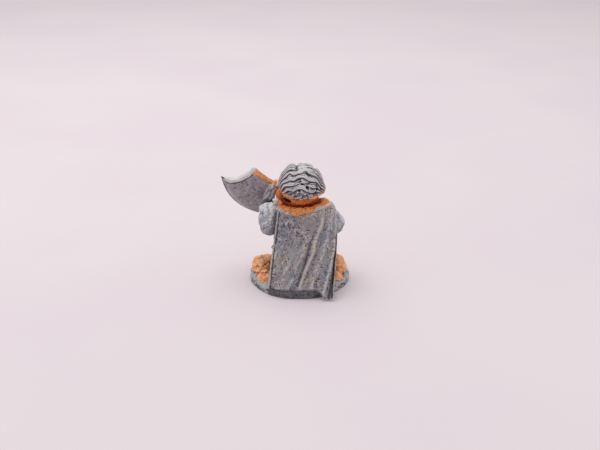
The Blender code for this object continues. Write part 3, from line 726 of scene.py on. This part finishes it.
def make_head():
    verts, quads = skin(head_field, (-4.9, -5.0, 15.7), (4.8, 4.4, 23.7), 0.09)
    p = single(verts)
    behind = ease(verts[:, 1], -1.0, 0.5)
    verts = raised(verts, quads, (0.012 + 0.05 * behind) * rough(p, 0.45, 81, 2))
    # The carved hole under the hair is painted black as shadow, and the band round the neck below the shade line is
    # painted dark red as shade.
    hollow = ease(1.2 - np.linalg.norm((verts - HOLE) / HOLE_RADII, axis=1), 0, 0.2)
    shade_line = 17.2 + 0.35 * np.maximum(-1.0 - verts[:, 0], 0)
    recess_shade = ease(shade_line - verts[:, 2], -0.2, 0.2) * ease(verts[:, 1], -2.5, -1.0)
    recess_shade = np.maximum(recess_shade, hollow)
    skin_paint = dict(ORANGE, grit=0.25, grain=0.3, wash=0.6, wash_start=-0.9, wash_full=-2.6)
    nape = dict(ORANGE, main=(172, 86, 34), second=(188, 102, 44), tint=(152, 68, 26), pale=(212, 140, 86))
    nape["brush"] = 0.5
    look = painted("skin_paint", skin_paint, (nape, "nape"), (SHADE_RED, "recess_shade"), seed=12)
    x = np.abs(verts[:, 0] - HEAD_X)
    eye = np.hypot((x - 1.22) / 0.42, (verts[:, 2] - EYE_Z) / 0.2)
    pupil = np.hypot(x - 1.2, verts[:, 2] - EYE_Z)
    front = ease(-verts[:, 1], 2.9, 3.1)
    # The eyes are painted pale with dark pupils, and the hole is painted black as shadow.
    stain_and_painted_light = front * (3.5 * ease(1.0 - eye, 0, 0.2) - 9 * ease(0.17 - pupil, 0, 0.06)) - 6 * hollow
    masks = {"recess_shade": recess_shade, "nape": ease(verts[:, 1], 0.2, 1.2) * ease(19.6 - verts[:, 2], 0, 0.5)}
    add_piece("head_sculpt", verts, quads, look, ["head"], masks, stain_and_painted_light)


def hair_shell(p):
    q = p - HAIR_CENTRE
    dome = egg(p, HAIR_CENTRE, HAIR_RADII - 0.15)
    dome = dome + 0.6 * ease(-q[:, 0], 2.0, 3.9) * ease(q[:, 2], -1.4, 0.5)
    curl = egg(p, (-4.35, 1.6, 19.95), (0.42, 0.85, 0.42))
    tuft = egg(p, (-1.35, 1.3, 23.4), (1.3, 1.7, 0.8))
    dome = union(dome, curl, tuft, soft=0.5)
    hollow = egg(p, (-0.5, 0.0, 20.05), (3.5, 3.6, 3.2))
    window = np.hypot(p[:, 0] - HEAD_X, p[:, 2] - 18.95) - 3.05
    window = np.maximum(window, p[:, 1] + 0.9)
    hem = 18.25 + 0.12 * np.sin(p[:, 0] * 3.1) + 0.1 * np.sin(p[:, 0] * 7.0 + 1)
    shell = minus(minus(dome, hollow, soft=0.15), window, soft=0.35)
    return common(shell, hem - p[:, 2], soft=0.5)


def strand_level(p):
    """Millimetres back from the crown along the parting, so that each strand of hair lies on one level."""
    q = p - HAIR_CENTRE
    turn = np.arctan2(q[:, 1], q[:, 2] + 2.2)
    aside = np.sqrt((q[:, 0] - 0.5 + 0.6 * ease(turn, 0.7, 1.5)) ** 2 + 0.3) - 0.5
    waves = 0.22 * np.sin(1.9 * q[:, 0] + 0.9) * ease(turn, 0.2, 1.0) + 0.45 * noise(p, 2.1, 92)
    arch = 0.17 * (1 - 0.6 * ease(turn, 1.6, 2.3))
    return 5.0 * turn - arch * aside**1.1 + waves + 0.26 * noise(p, 1.0, 97)


def strands(p):
    """The height of the combed locks, and how bare the smooth tuft at the crown is of them."""
    q = p - HAIR_CENTRE
    level = strand_level(p)
    phase = (level - 2.25) / 1.15 + 0.05 * (level - 2.25) * np.abs(level - 2.25)
    part = phase % 1.0
    lock = part**0.7 * ease(1.0 - part, 0.0, 0.16)
    strand = np.abs(np.sin(math.pi * (3.0 * phase + 0.8 * noise(p, 1.1, 93))))
    lower = ease(level, 2.8, 4.4) * ease(2.2 - q[:, 0], 0, 1.6)
    stretched = p * single((0.8, 1.0, 1.0))
    dashes = ease(noise(stretched, 0.6, 94) + 0.35 * noise(stretched, 0.35, 95), 0.05, 0.6) * lower
    tuft = 1 - ease(np.hypot((q[:, 0] + 0.05) / 0.95, (level - 1.2) / 1.35), 0.65, 1.1)
    upper = ease(1.6 - level, 0, 1.0)
    notches = 0.5 * np.exp(-(((q[:, 0] - 1.15) / 0.26) ** 2)) + 0.5 * np.exp(-(((q[:, 0] + 2.3) / 0.32) ** 2))
    lobe = 0.3 * np.exp(-(((q[:, 0] - 2.3) / 0.8) ** 2)) * upper
    height = (0.42 + 0.14 * noise(p, 1.6, 98)) * lock + 0.07 * strand - 0.4 * dashes - notches * upper + lobe
    return height * (1 - 0.7 * tuft) + 0.2 * tuft, tuft


def make_hair():
    verts, quads = skin(hair_shell, (-5.9, -4.6, 17.6), (4.6, 5.3, 24.8), 0.075)
    p = single(verts)
    normal = normals_of(verts, quads)
    outward = (normal * (verts - HAIR_CENTRE)).sum(1)
    outer = ease(outward, 0.3, 1.5) * ease(normal[:, 2], -0.9, -0.5)
    height, tuft = strands(p)
    verts = raised(verts, quads, outer * (height - 0.2) + 0.02 * rough(p, 0.3, 95, 2))
    rise = np.minimum(0.085 * (verts[:, 0] + 0.3) ** 2, 1.0)
    fringe = 18.35 + rise + 0.55 * noise(p * single((1, 1, 0.5)), 0.6, 96) - verts[:, 2]
    spot = egg(p, HAIR_SPOT, (0.5, 0.6, 0.5))
    look = painted("hair_paint", HAIR, (ORANGE, "fringe"), seed=14)
    masks = {"fringe": np.maximum(ease(fringe, -0.2, 0.2), 0.8 * ease(-spot, 0, 0.15))}
    # The crown is painted paler and the lower hair darker: dry-brushed paint together with painted top light and
    # shade.
    lower = ease(21.0 - verts[:, 2], 0, 1.2)
    add_piece("hair_sculpt", verts, quads, look, ["hair"], masks, 0.45 + 1.4 * tuft - 1.3 * lower)


def collar_field(p):
    x = p[:, 0] - COLLAR_X
    y = p[:, 1] - COLLAR_Y
    depth = np.where(y < 0, 3.3, 3.85)
    across = np.hypot(x, y * COLLAR_RADIUS / depth)
    forward = np.minimum(y / depth, 0)
    middle = 15.75 - 0.9 * forward**2 - 0.061 * x
    angle = np.arctan2(x, y)
    out = across - COLLAR_RADIUS
    out = np.where(y < 0, out * 0.85, out * 0.93)
    up = p[:, 2] - middle
    roll = np.hypot(out, up) - (0.95 + 0.06 * np.sin(angle * 7 + 1.0) + 0.05 * np.sin(angle * 13))
    crease = 0.1 * np.sin(5.0 * up + 1.2 * np.sin(angle * 4)) * ease(0.9 - np.abs(up), 0, 0.4)
    bunch = egg(p, (3.5, 0.8, 16.3), (0.9, 1.3, 0.9))
    floor = common(across - 4.2, np.abs(p[:, 2] - 15.85) - 0.7, soft=0.1)
    ring = union(roll - crease, bunch, floor, soft=0.3)
    return common(ring, p[:, 0] - 4.35, soft=0.4)


def make_collar():
    verts, quads = skin(collar_field, (-6.3, -4.6, 13.3), (5.4, 5.7, 17.5), 0.1)
    verts = cast_skin(verts, quads, 101, 0.09, 0.07)
    # The inner face of the collar ring, towards the back of the neck, is painted dark red as shade.
    inner = np.hypot(verts[:, 0] - COLLAR_X, (verts[:, 1] - COLLAR_Y) * COLLAR_RADIUS / 3.85)
    shadow = ease(4.05 - inner, -0.1, 0.2) * ease(verts[:, 1], -1.0, 0.5)
    places, heights = (-4.6, -3.6, -3.0, -1.75, 0.2, 2.1, 4.2), (15.6, 16.6, 16.4, 15.75, 15.3, 15.95, 16.4)
    line = np.interp(verts[:, 0], places, heights)
    line = line + 0.22 * noise(single(verts), 0.55, 103)
    lapped = ease(line - verts[:, 2], -0.15, 0.15) * ease(verts[:, 1], 0.5, 1.5)
    rough_orange = dict(
        main=(204, 108, 42), second=(218, 128, 58), tint=(176, 80, 28), pale=(236, 172, 118),
        dark=(84, 34, 20), brush=0.6, wash_start=-0.35, grain=0.9, grit=0.7,
    )
    look = painted("collar_paint", rough_orange, (CLOTH, "lapped"), (SHADE_RED, "recess_shade"), seed=16)
    masks = {"recess_shade": shadow, "lapped": lapped}
    stain_and_painted_light = 1.3 * ease(-verts[:, 0], 2.9, 3.7)
    add_piece("collar_sculpt", verts, quads, look, ["collar"], masks, stain_and_painted_light)


# --- cape
# each fold: a line of (v, u) places down the cape, its half width and height in millimetres
FOLDS = (
    (((0.03, 0.79), (0.22, 0.72), (0.35, 0.66), (0.53, 0.625), (0.67, 0.56), (0.78, 0.525), (0.96, 0.49)), 0.55, 0.5),
    (((0.02, 0.625), (0.21, 0.56), (0.31, 0.49), (0.47, 0.46), (0.7, 0.4), (0.97, 0.33)), 0.65, 0.15),
    (((0.0, 0.61), (0.2, 0.43), (0.41, 0.35), (0.58, 0.31), (0.69, 0.27), (0.76, 0.22), (0.97, 0.16)), 0.7, 0.17),
    (((0.36, 0.925), (0.41, 0.93), (0.48, 0.96), (0.58, 0.94), (0.73, 0.91), (0.79, 0.89), (0.97, 0.84)), 0.4, 0.4),
    (((0.02, 0.92), (0.15, 0.9), (0.3, 0.84), (0.5, 0.78), (0.75, 0.72), (0.97, 0.66)), 0.6, 0.2),
)
GROOVES = (
    (((0.2, 0.67), (0.31, 0.62), (0.37, 0.575), (0.54, 0.54), (0.68, 0.51), (0.85, 0.475)), 0.4, 0.2),
    (((0.45, 0.985), (0.6, 0.985), (0.8, 0.955), (0.97, 0.93)), 0.3, 0.4),
)


def cape_frame(u, v):
    """The cape's outer face before its folds."""
    left_x = 4.25 + 2.0 * v
    right_x = -(6.5 + 1.0 * np.sin(math.pi * v**0.6))
    across = 2 * u - 1
    wrap = np.where(across < 0, 1.6 - 0.5 * v, 3.5 * (1 - v) ** 1.5)
    flare = ease(u, 0.7, 0.9) * v**3
    y = 4.8 + 4.85 * v**1.3 - wrap * np.abs(across) ** 2.2 + 1.35 * flare
    shoulder = 0.9 * ease(-across, 0, 0.9) + 1.7 * ease(across, -0.05, 0.5) + 0.5 * ease(across, 0.6, 1)
    droop = 1.15 * ease(u, 0.78, 0.9) * (1 - 0.4 * ease(u, 0.93, 1.0)) * v**6
    corner = ease(u, 0.84, 1.0) * (1 - ease(v, 0.0, 0.09))
    z = 15.3 - 13.65 * v + shoulder * (1 - v) ** 2 - droop - 0.35 * corner
    return np.column_stack([left_x + (right_x - left_x) * u + 0.25 * corner, y, z])


def along(u, v, lines):
    """The summed height of soft ridges that follow lines down the cape."""
    total = np.zeros_like(u)
    wander = 0.006 * np.sin(14 * v + 9 * u)
    for places, width, height in lines:
        line_v, line_u = zip(*places)
        side = (u - np.interp(v, line_v, line_u) - wander) * (10.6 + 2.8 * v) / width
        taper = ease(v, line_v[0] - 0.02, line_v[0] + 0.16)
        total += height * taper * np.exp(-np.abs(side) ** 1.7)
    return total


def cape_folds(u, v):
    sweep = 0.22 * ease(v, 0.1, 0.6) * np.sin(2.6 * math.tau * (u + 0.4 * (v - 0.5)) + 0.4)
    return along(u, v, FOLDS) - along(u, v, GROOVES) + sweep


def make_cape():
    u, v, grid, loop = sheet(200, 240)
    quads = np.stack([grid[:-1, :-1], grid[:-1, 1:], grid[1:, 1:], grid[1:, :-1]], -1).reshape(-1, 4)
    face = cape_frame(u, v)
    normal = normals_of(face, quads)
    if normal[:, 1].sum() < 0:
        quads = quads[:, ::-1]
        normal = -normal
    edge = np.minimum(np.minimum(u, 1 - u) * 11.5, np.minimum(v, 1 - v) * 14.0)
    rolled = ease(edge, 0, 0.45)
    p = face.astype(np.float32)
    patchy = 0.3 + 0.7 * ease(noise(p, 2.8, 110), -0.4, 0.6)
    skin_grain = 0.04 * patchy * rough(p, 0.36, 111, 2) + 0.05 * noise(p, 1.0, 113)
    scars = -0.11 * ease(noise(p, 0.42, 115), 0.4, 0.8) * patchy
    brushed = np.column_stack([p[:, 0] + 0.38 * p[:, 2], p[:, 1], 0.22 * p[:, 2]]).astype(np.float32)
    streaks = 0.06 * rough(brushed, 0.7, 117, 2)
    height = (cape_folds(u, v) + skin_grain + scars + streaks) * (0.35 + 0.65 * rolled) - 0.22 * (1 - rolled)
    outer = face + normal * height[:, None]
    inner = face - normal * (0.62 - 0.3 * (1 - rolled) - 0.45 * cape_folds(u, v))[:, None]
    inner = np.where(rolled[:, None] < 1, inner + (outer - inner) * (1 - rolled)[:, None] * 0.3, inner)

    count = grid.size
    verts = np.concatenate([outer, inner])
    back = quads[:, ::-1] + count
    following = np.roll(loop, -1)
    wall = np.column_stack([loop, following, following + count, loop + count])
    centre = outer.mean(0)
    flow = np.cross(outer[following[5]] - outer[loop[5]], inner[loop[5]] - outer[loop[5]])
    if flow @ (outer[loop[5]] - centre) < 0:
        wall = wall[:, ::-1]
    quads = np.concatenate([quads, back, wall])
    radius = np.hypot(verts[:, 0], verts[:, 1])
    floor = np.where(radius < 10.15, 1.6, 0.12)
    verts[:, 2] = np.maximum(verts[:, 2], floor)

    patch = ease(1.2 - np.hypot((verts[:, 0] + 5.2) / 1.4, (verts[:, 2] - 17.5) / 0.75), -0.15, 0.25)
    drip = ease(1.0 - np.hypot((verts[:, 0] + 3.5) / 1.1, (verts[:, 2] - 17.4) / 0.7), -0.15, 0.25)
    look = painted("cape_paint", CLOTH, (EDGE_SHADE, "edge_shade"), (ORANGE, "patch"), seed=18)
    # Dark lines painted down both side edges stand for the shade on the cape's turned edge.
    left_line = np.exp(-(((u - 0.042) / 0.017) ** 2)) * (0.9 + 0.35 * noise(p, 1.4, 119))
    right_line = np.exp(-(((u - 0.972) / 0.02) ** 2)) * ease(v, 0.28, 0.42)
    edge_shade = np.concatenate([np.clip(left_line + right_line, 0, 1), np.zeros(count)])
    dabbed = np.exp(-(((p[:, 0] - 1.9) / 2.2) ** 2) - ((p[:, 2] - 12.7) / 2.0) ** 2)
    runs = noise(brushed, 0.42, 125) * ease(v, 0.45, 0.75) * ease(0.5 - u, 0.0, 0.15)
    zones = 0.9 * noise(brushed, 2.4, 121) + 0.6 * noise(p, 1.6, 123) + 2.5 * runs
    blotch = np.exp(-(((p[:, 0] - 0.95) / 0.42) ** 2) - ((p[:, 2] - 4.3) / 0.4) ** 2)
    blotch = blotch * (1 + noise(p, 0.35, 135))
    # Besides paint marks, a thin pale line along the left edge is a painted highlight, and the foot of the hem is
    # painted darker as shade.
    marks_and_painted_light = zones + dabbed * (11.0 * noise(p, 0.42, 129) - 1.2) + 2.2 * np.exp(-((u / 0.014) ** 2))
    marks_and_painted_light -= 5.0 * blotch + 3.0 * ease(v, 0.95, 0.975)
    stain_and_painted_light = np.concatenate([marks_and_painted_light, np.full(count, -0.5)])
    masks = {"patch": np.clip(patch + drip, 0, 1), "edge_shade": edge_shade}
    add_piece("cape_sculpt", verts, quads, look, ["cape"], masks, stain_and_painted_light)


# --- arms and hands
def make_arms():
    look = painted("sleeve_paint", SLEEVE, (BLADE, "cuff"), seed=20)

    def upper_left(p):
        arm = chain(p, [((5.85, 1.0, 14.8), 1.75), ((6.1, 1.0, 13.0), 1.8), ((6.0, 0.95, 11.4), 1.72)], 0.6)
        q = p - single((6.2, 0.8, 12.6))
        folds = 0.045 * np.sin(3.6 * q[:, 2] + 1.6 * q[:, 0] + 0.8 * np.sin(2 * q[:, 1]))
        folds = folds * ease(14.6 - p[:, 2], 0, 1.4)
        pleats = 0.05 * np.sin(5.0 * q[:, 0] + 0.8 * np.sin(3 * q[:, 2])) * ease(p[:, 2], 13.6, 15.0)
        return union(arm, egg(p, (5.85, 0.9, 15.4), (1.95, 1.75, 1.05)), soft=0.4) - folds - pleats

    def lower_left(p):
        arm = chain(p, [((6.2, 0.3, 12.0), 1.4), ((6.05, -0.6, 15.5), 1.15), ((6.0, -0.9, 16.6), 1.1)], 0.4)
        tip = [((6.0, -0.9, 16.6), 1.15), ((5.75, -1.2, 17.6), 1.0)]
        tip += [((5.5, -1.5, 18.4), 0.85), ((5.3, -1.8, 18.9), 0.65)]
        cuff = chain(p, tip, 0.5)
        streaks = 0.07 * np.sin(8.0 * (p[:, 0] + 0.6 * p[:, 2]) + noise(p, 0.9, 125))
        streaks = streaks * ease(p[:, 2], 16.4, 17.2)
        nub = egg(p, (4.65, -1.2, 18.4), (0.32, 0.36, 0.25))
        return union(union(arm, cuff) - streaks, nub, soft=0.2)

    def knob_field(p):
        return union(egg(p, KNOB, KNOB_RADII), limb(p, KNOB, (4.95, 1.0, 15.9), 0.26, 0.35), soft=0.2)

    def left(p):
        sleeve, cuff = upper_left(p), lower_left(p)
        crease = 0.4 * np.exp(-(((sleeve - cuff) / 0.3) ** 2)) * ease(p[:, 2], 15.0, 15.6)
        return union(union(sleeve, cuff) + crease, knob_field(p))

    verts, quads = skin(left, (3.6, -3.4, 9.0), (8.8, 3.4, 20.4), 0.1)
    p = single(verts)
    apart = upper_left(p) - lower_left(p)
    elbow = ease(11.9 - verts[:, 2], -0.6, 0.6)
    knob = ease(0.08 - knob_field(p), 0, 0.06)
    # The crease between the sleeve and the cuff is painted black as shadow and the knob pale; the sleeve is also
    # painted paler towards the top and darker at the elbow.
    stain_and_painted_light = -8.0 * ease(0.7 - np.abs(apart), 0, 0.25) * ease(verts[:, 2], 15.2, 15.8) * (1 - knob) + 1.8 * knob
    hung = single(verts * (1, 1, 0.3))
    stain_and_painted_light += 0.9 * ease(verts[:, 2], 12.5, 15.0) - 1.0 * elbow + 0.8 * noise(hung, 0.55, 127)
    cuff = ease(apart, 0, 0.3) * ease(verts[:, 2], 15.8, 16.3) * (1 - knob)
    slanted = np.column_stack([0.8 * p[:, 0] + 0.6 * p[:, 2], p[:, 1], 0.2 * p[:, 2] - 0.15 * p[:, 0]])
    stain_and_painted_light += cuff * (5.5 * noise(slanted, 0.42, 131) - 0.2)
    verts = cast_skin(verts, quads, 121, 0.06)
    add_piece("left_sleeve", verts, quads, look, ["left_arm"], {"cuff": cuff}, stain_and_painted_light)

    def right(p):
        upper = chain(p, [((-5.0, 0.4, 14.5), 1.4), ((-6.3, 0.2, 13.2), 1.5), ((-7.4, -0.1, 11.9), 1.5)], 0.5)
        fore = chain(p, [((-7.4, -0.3, 11.6), 1.45), ((-6.2, -2.0, 11.1), 1.3), ((-4.95, -3.2, 10.25), 1.08)], 0.5)
        arm = union(upper, fore, egg(p, (-7.35, 0.0, 11.1), (1.15, 1.2, 1.5)), soft=0.4)
        q = p - single((-7.4, -0.3, 12.3))
        folds = 0.1 * np.sin(3.4 * q[:, 0] - 2.2 * q[:, 2] + 0.9 * q[:, 1])
        folds = folds * ease(3.2 - np.linalg.norm(q, axis=1), 0, 1.5)
        cuff = limb(p, (-5.45, -2.75, 10.6), (-5.0, -3.2, 10.25), 1.2, 1.26)
        return union(arm - folds, cuff, soft=0.12)

    verts, quads = skin(right, (-9.5, -5.0, 8.6), (-3.4, 2.6, 16.6), 0.1)
    stain_and_painted_light = 1.5 * noise(single(verts), 0.6, 133) - 0.9 * ease(12.2 - verts[:, 2], 0, 1.2) - 0.3
    verts = cast_skin(verts, quads, 122, 0.06)
    add_piece("right_sleeve", verts, quads, look, ["right_arm"], None, stain_and_painted_light)


def make_hands():
    look = painted("hand_paint", dict(ORANGE, grit=0.2, grain=0.3), seed=22)
    wrist = to_axe(single([(5.5, -1.6, 18.0)]))[0]

    def left(p):
        q = to_axe(p)
        across = np.hypot(q[:, 0], q[:, 1])
        palm = egg(q, (0.25, 0.35, -0.35), (1.2, 0.95, 1.15))
        hand = union(palm, limb(q, (0.3, 0.4, -0.4), wrist, 0.75, 0.8), soft=0.4)
        knuckles = 0.05 * np.cos(3.2 * np.arctan2(q[:, 1], q[:, 0]))
        for order in range(4):
            level = -1.28 + 0.56 * order
            finger = np.hypot(across - 0.98, q[:, 2] - level) - 0.33
            hand = union(hand, finger - knuckles, soft=0.1)
        thumb = chain(q, [((0.6, 0.9, -0.4), 0.42), ((-0.1, 1.1, 0.25), 0.36), ((-0.75, 0.75, 0.45), 0.3)], 0.15)
        return union(hand, thumb, soft=0.12)

    corner = from_axe(single([(0, 0, -0.3)]))[0]
    verts, quads = skin(left, corner - 2.6, corner + 2.6, 0.075)
    verts = cast_skin(verts, quads, 131, 0.02, 0.02)
    add_piece("left_fist", verts, quads, look, ["left_hand"])

    def right(p):
        palm = egg(p, (-3.75, -4.25, 9.35), (0.95, 0.85, 0.95))
        hand = union(palm, limb(p, (-3.9, -4.1, 9.4), (-4.9, -3.3, 10.15), 0.8), soft=0.4)
        for order in range(4):
            z = 8.62 + 0.48 * order
            finger = [((-3.7, -4.85, z), 0.32), ((-3.0, -4.75, z), 0.31), ((-2.75, -4.25, z), 0.28)]
            hand = union(hand, chain(p, finger, 0.12), soft=0.1)
        thumb = [((-4.2, -4.6, 9.9), 0.38), ((-3.6, -4.95, 10.35), 0.33), ((-3.05, -4.95, 10.4), 0.28)]
        return union(hand, chain(p, thumb, 0.15), soft=0.12)

    verts, quads = skin(right, (-5.9, -5.9, 7.9), (-2.2, -2.6, 11.2), 0.075)
    verts = cast_skin(verts, quads, 132, 0.02, 0.02)
    add_piece("right_fist", verts, quads, look, ["right_hand"])


# --- axe
def make_haft():
    def field(p):
        q = to_axe(p)
        across = np.hypot(q[:, 0], q[:, 1])
        angle = np.arctan2(q[:, 1], q[:, 0])
        z = q[:, 2]
        ends = (-8.3, -8.0, -7.4, -7.0, -6.7, -6.4, -2.0, 4.0, 5.4, 6.2, 6.6)
        sizes = (0.3, 0.85, 0.98, 0.9, 0.62, 0.68, 0.62, 0.6, 0.66, 0.72, 0.45)
        radius = np.interp(z, ends, sizes)
        grain = 0.035 * np.sin(angle * 5 + 0.6 * z) + 0.03 * np.sin(angle * 9 - 0.9 * z)
        binding = 0.07 * np.abs(np.sin(math.pi * (z / 0.42 + angle / math.tau)))
        binding = binding * ease(z, -6.4, -6.0) * ease(-3.2 - z, 0, 0.4)
        body = (across - radius - grain - binding) * 0.9
        return common(body, z - 6.5, -8.2 - z, soft=0.3)

    tips = from_axe(single([(0, 0, 6.6), (0, 0, -8.3)]))
    verts, quads = skin(field, tips.min(0) - 1.3, tips.max(0) + 1.3, 0.1)
    verts = cast_skin(verts, quads, 141, 0.08, 0.1)
    # The haft's end is painted with the same pale band, dry-brush and a painted highlight.
    tip = ease(to_axe(verts)[:, 2], 6.1, 6.4)
    look = painted("haft_paint", ORANGE, (CHALK_HIGHLIGHT, "tip"), seed=24)
    add_piece("haft_sculpt", verts, quads, look, ["axe_haft"], {"tip": tip})


def blade_plan(t, q):
    """The blade's middle plane, in the axe's frame: t from haft to edge, q from heel to upper horn."""
    heel = np.column_stack([8.1 * t, 1.4 - 4.15 * t])
    upper = np.column_stack([0.1 + 5.5 * t, 6.4 + 0.45 * t + 2.65 * t**6])
    bulge = 4 * q * (1 - q) * (2.14 - 0.48 * q) * t**1.5
    return heel + (upper - heel) * q[:, None] + np.array((0.97, 0.23)) * bulge[:, None]


def make_blade():
    t, q, grid, loop = sheet(130, 150)
    quads = np.stack([grid[:-1, :-1], grid[1:, :-1], grid[1:, 1:], grid[:-1, 1:]], -1).reshape(-1, 4)
    flat = blade_plan(t, q)
    half = 0.5 * (1.5 - 0.25 * t) * (1 - ease(t, 0.9, 1.0) * 0.85)
    near_edge = np.minimum(np.minimum(q, 1 - q) * 9.0, (1 - t) * 7.0)
    half = half - 0.1 * (1 - ease(near_edge, 0, 0.3))
    spine = np.column_stack([5.5 * t - 8.1 * t, 5.0 + 4.6 * t + 2.65 * t**6])
    below_top = (1 - q) * np.linalg.norm(spine, axis=1)
    half = half - 0.16 * ease(0.5 - below_top, 0, 0.35)
    flat_points = np.column_stack([flat[:, 0], np.zeros(len(t)), flat[:, 1]])
    sides = []
    for direction, seed in ((-1, 151), (1, 157)):
        p = single(flat_points + (0, direction * 3, 0))
        dents = (0.05 * rough(p, 0.5, seed, 2) + 0.06 * noise(p, 1.4, seed + 3)) * ease(near_edge, 0, 0.3)
        sides.append(flat_points + np.outer(half + dents, (0, direction, 0)))
    count = grid.size
    verts = from_axe(np.concatenate(sides))
    # the two faces are joined round the rim by walls, a few rows deep so that they can be uneven
    steps = 5
    rim_start = len(verts)
    rows_of = [loop]
    extra = []
    for k in range(1, steps):
        extra.append(verts[loop] + (verts[loop + count] - verts[loop]) * k / steps)
        rows_of.append(rim_start + (k - 1) * len(loop) + np.arange(len(loop)))
    rows_of.append(loop + count)
    verts = np.concatenate([verts, *extra])
    walls = []
    for first, second in zip(rows_of, rows_of[1:]):
        walls.append(np.column_stack([first, second, np.roll(second, -1), np.roll(first, -1)]))
    quads = np.concatenate([quads, quads[:, ::-1] + count, *walls])
    first, second, third = (verts[quads[:, k]] - verts[0] for k in range(3))
    if (first * np.cross(second, third)).sum() < 0:
        quads = quads[:, ::-1]
    top = np.concatenate([q, q] + [q[loop]] * (steps - 1))
    out = np.concatenate([t, t] + [t[loop]] * (steps - 1))
    depth = np.concatenate([below_top, below_top] + [below_top[loop]] * (steps - 1))
    # A pale band painted along the top of the blade's near face is dry-brush and a painted highlight for the lit top
    # of the thick blade; the dark line painted under it is painted shade.
    ragged = 0.1 * noise(single(verts), 0.7, 165)
    chalk_highlight = ease(0.42 + ragged - depth, -0.04, 0.06) * ease(1 - out, 0.0, 0.05)
    wobble = raised(verts, quads, 0.03 * noise(single(verts), 0.5, 163))
    verts = np.where((np.arange(len(verts)) >= rim_start)[:, None], wobble, verts)
    shade_underline = dict(EDGE_SHADE, main=(60, 52, 58), second=(76, 68, 74), tint=(48, 42, 46), brush=0.0)
    look = painted("blade_paint", BLADE, (CHALK_HIGHLIGHT, "chalk_highlight"), (shade_underline, "line"), seed=26)
    line = np.exp(-(((depth - ragged - 0.53) / 0.14) ** 4)) * ease(1 - out, 0.01, 0.06) * (1 - chalk_highlight)
    stain_and_painted_light = 0.5 * noise(single(verts), 1.2, 167) - 1.4 * ease(out, 0.975, 0.995) * (top < 0.97)
    masks = {"chalk_highlight": chalk_highlight, "line": line}
    add_piece("blade_sculpt", verts, quads, look, ["axe_head"], masks, stain_and_painted_light)


# --- hidden pins keep their CAD shape
def dress_pins():
    look = painted("pin_brass_worn", BRASS, seed=28)
    for name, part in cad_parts.items():
        if name.endswith("_pin"):
            part.data.materials.clear()
            part.data.materials.append(look)


# --- room
def make_floor():
    mesh = bpy.data.meshes.new("floor")
    size = 3.0
    mesh.from_pydata([(-size, -size, 0), (size, -size, 0), (size, size, 0), (-size, size, 0)], [], [(0, 1, 2, 3)])
    material = bpy.data.materials.new("floor_paper")
    material.use_nodes = True
    tree = material.node_tree
    shader = tree.nodes["Principled BSDF"]
    place = node(tree, "ShaderNodeTexCoord").outputs["Object"]
    cloud = speckle(tree, place, 60)
    tone = mixed(tree, step_up(tree, cloud, 0.3, 0.7), linear(232, 221, 227), linear(235, 225, 229))
    tree.links.new(tone, shader.inputs["Base Color"])
    shader.inputs["Roughness"].default_value = 0.8
    shader.inputs["Specular IOR Level"].default_value = 0.2
    mesh.materials.append(material)
    floor = bpy.data.objects.new("floor", mesh)
    bpy.context.scene.collection.objects.link(floor)


def add_light(name, place, aim, size, power, colour=(1, 1, 1)):
    data = bpy.data.lights.new(name, "AREA")
    data.shape = "DISK"
    data.size = size
    data.energy = power
    data.color = colour
    lamp = bpy.data.objects.new(name, data)
    lamp.location = place
    lamp.rotation_euler = (Vector(aim) - Vector(place)).to_track_quat("-Z", "Y").to_euler()
    bpy.context.scene.collection.objects.link(lamp)


def light_room():
    scene = bpy.context.scene
    scene.view_settings.view_transform = "Standard"
    world = bpy.data.worlds.new("soft_room")
    scene.world = world
    world.use_nodes = True
    background = world.node_tree.nodes["Background"]
    background.inputs["Color"].default_value = (1.0, 0.985, 0.99, 1)
    background.inputs["Strength"].default_value = 0.62
    add_light("key", (0.09, -0.1, 0.42), (0, 0, 0.01), 0.46, 0.95, (1.0, 0.99, 0.98))


def place_camera():
    pitch = math.radians(23.29)
    data = bpy.data.cameras.new("camera")
    data.lens = 50
    data.sensor_width = 36
    data.clip_start = 0.01
    camera = bpy.data.objects.new("camera", data)
    camera.location = (-0.00014, 0.15184, 0.076717)
    look = Vector((0, -math.cos(pitch), -math.sin(pitch)))
    camera.rotation_euler = look.to_track_quat("-Z", "Y").to_euler()
    bpy.context.scene.collection.objects.link(camera)
    bpy.context.scene.camera = camera


make_base()
make_rubble()
make_boots()
make_trunk()
make_belt()
make_head()
make_hair()
make_collar()
make_cape()
make_arms()
make_hands()
make_haft()
make_blade()
dress_pins()
make_floor()
light_room()
place_camera()
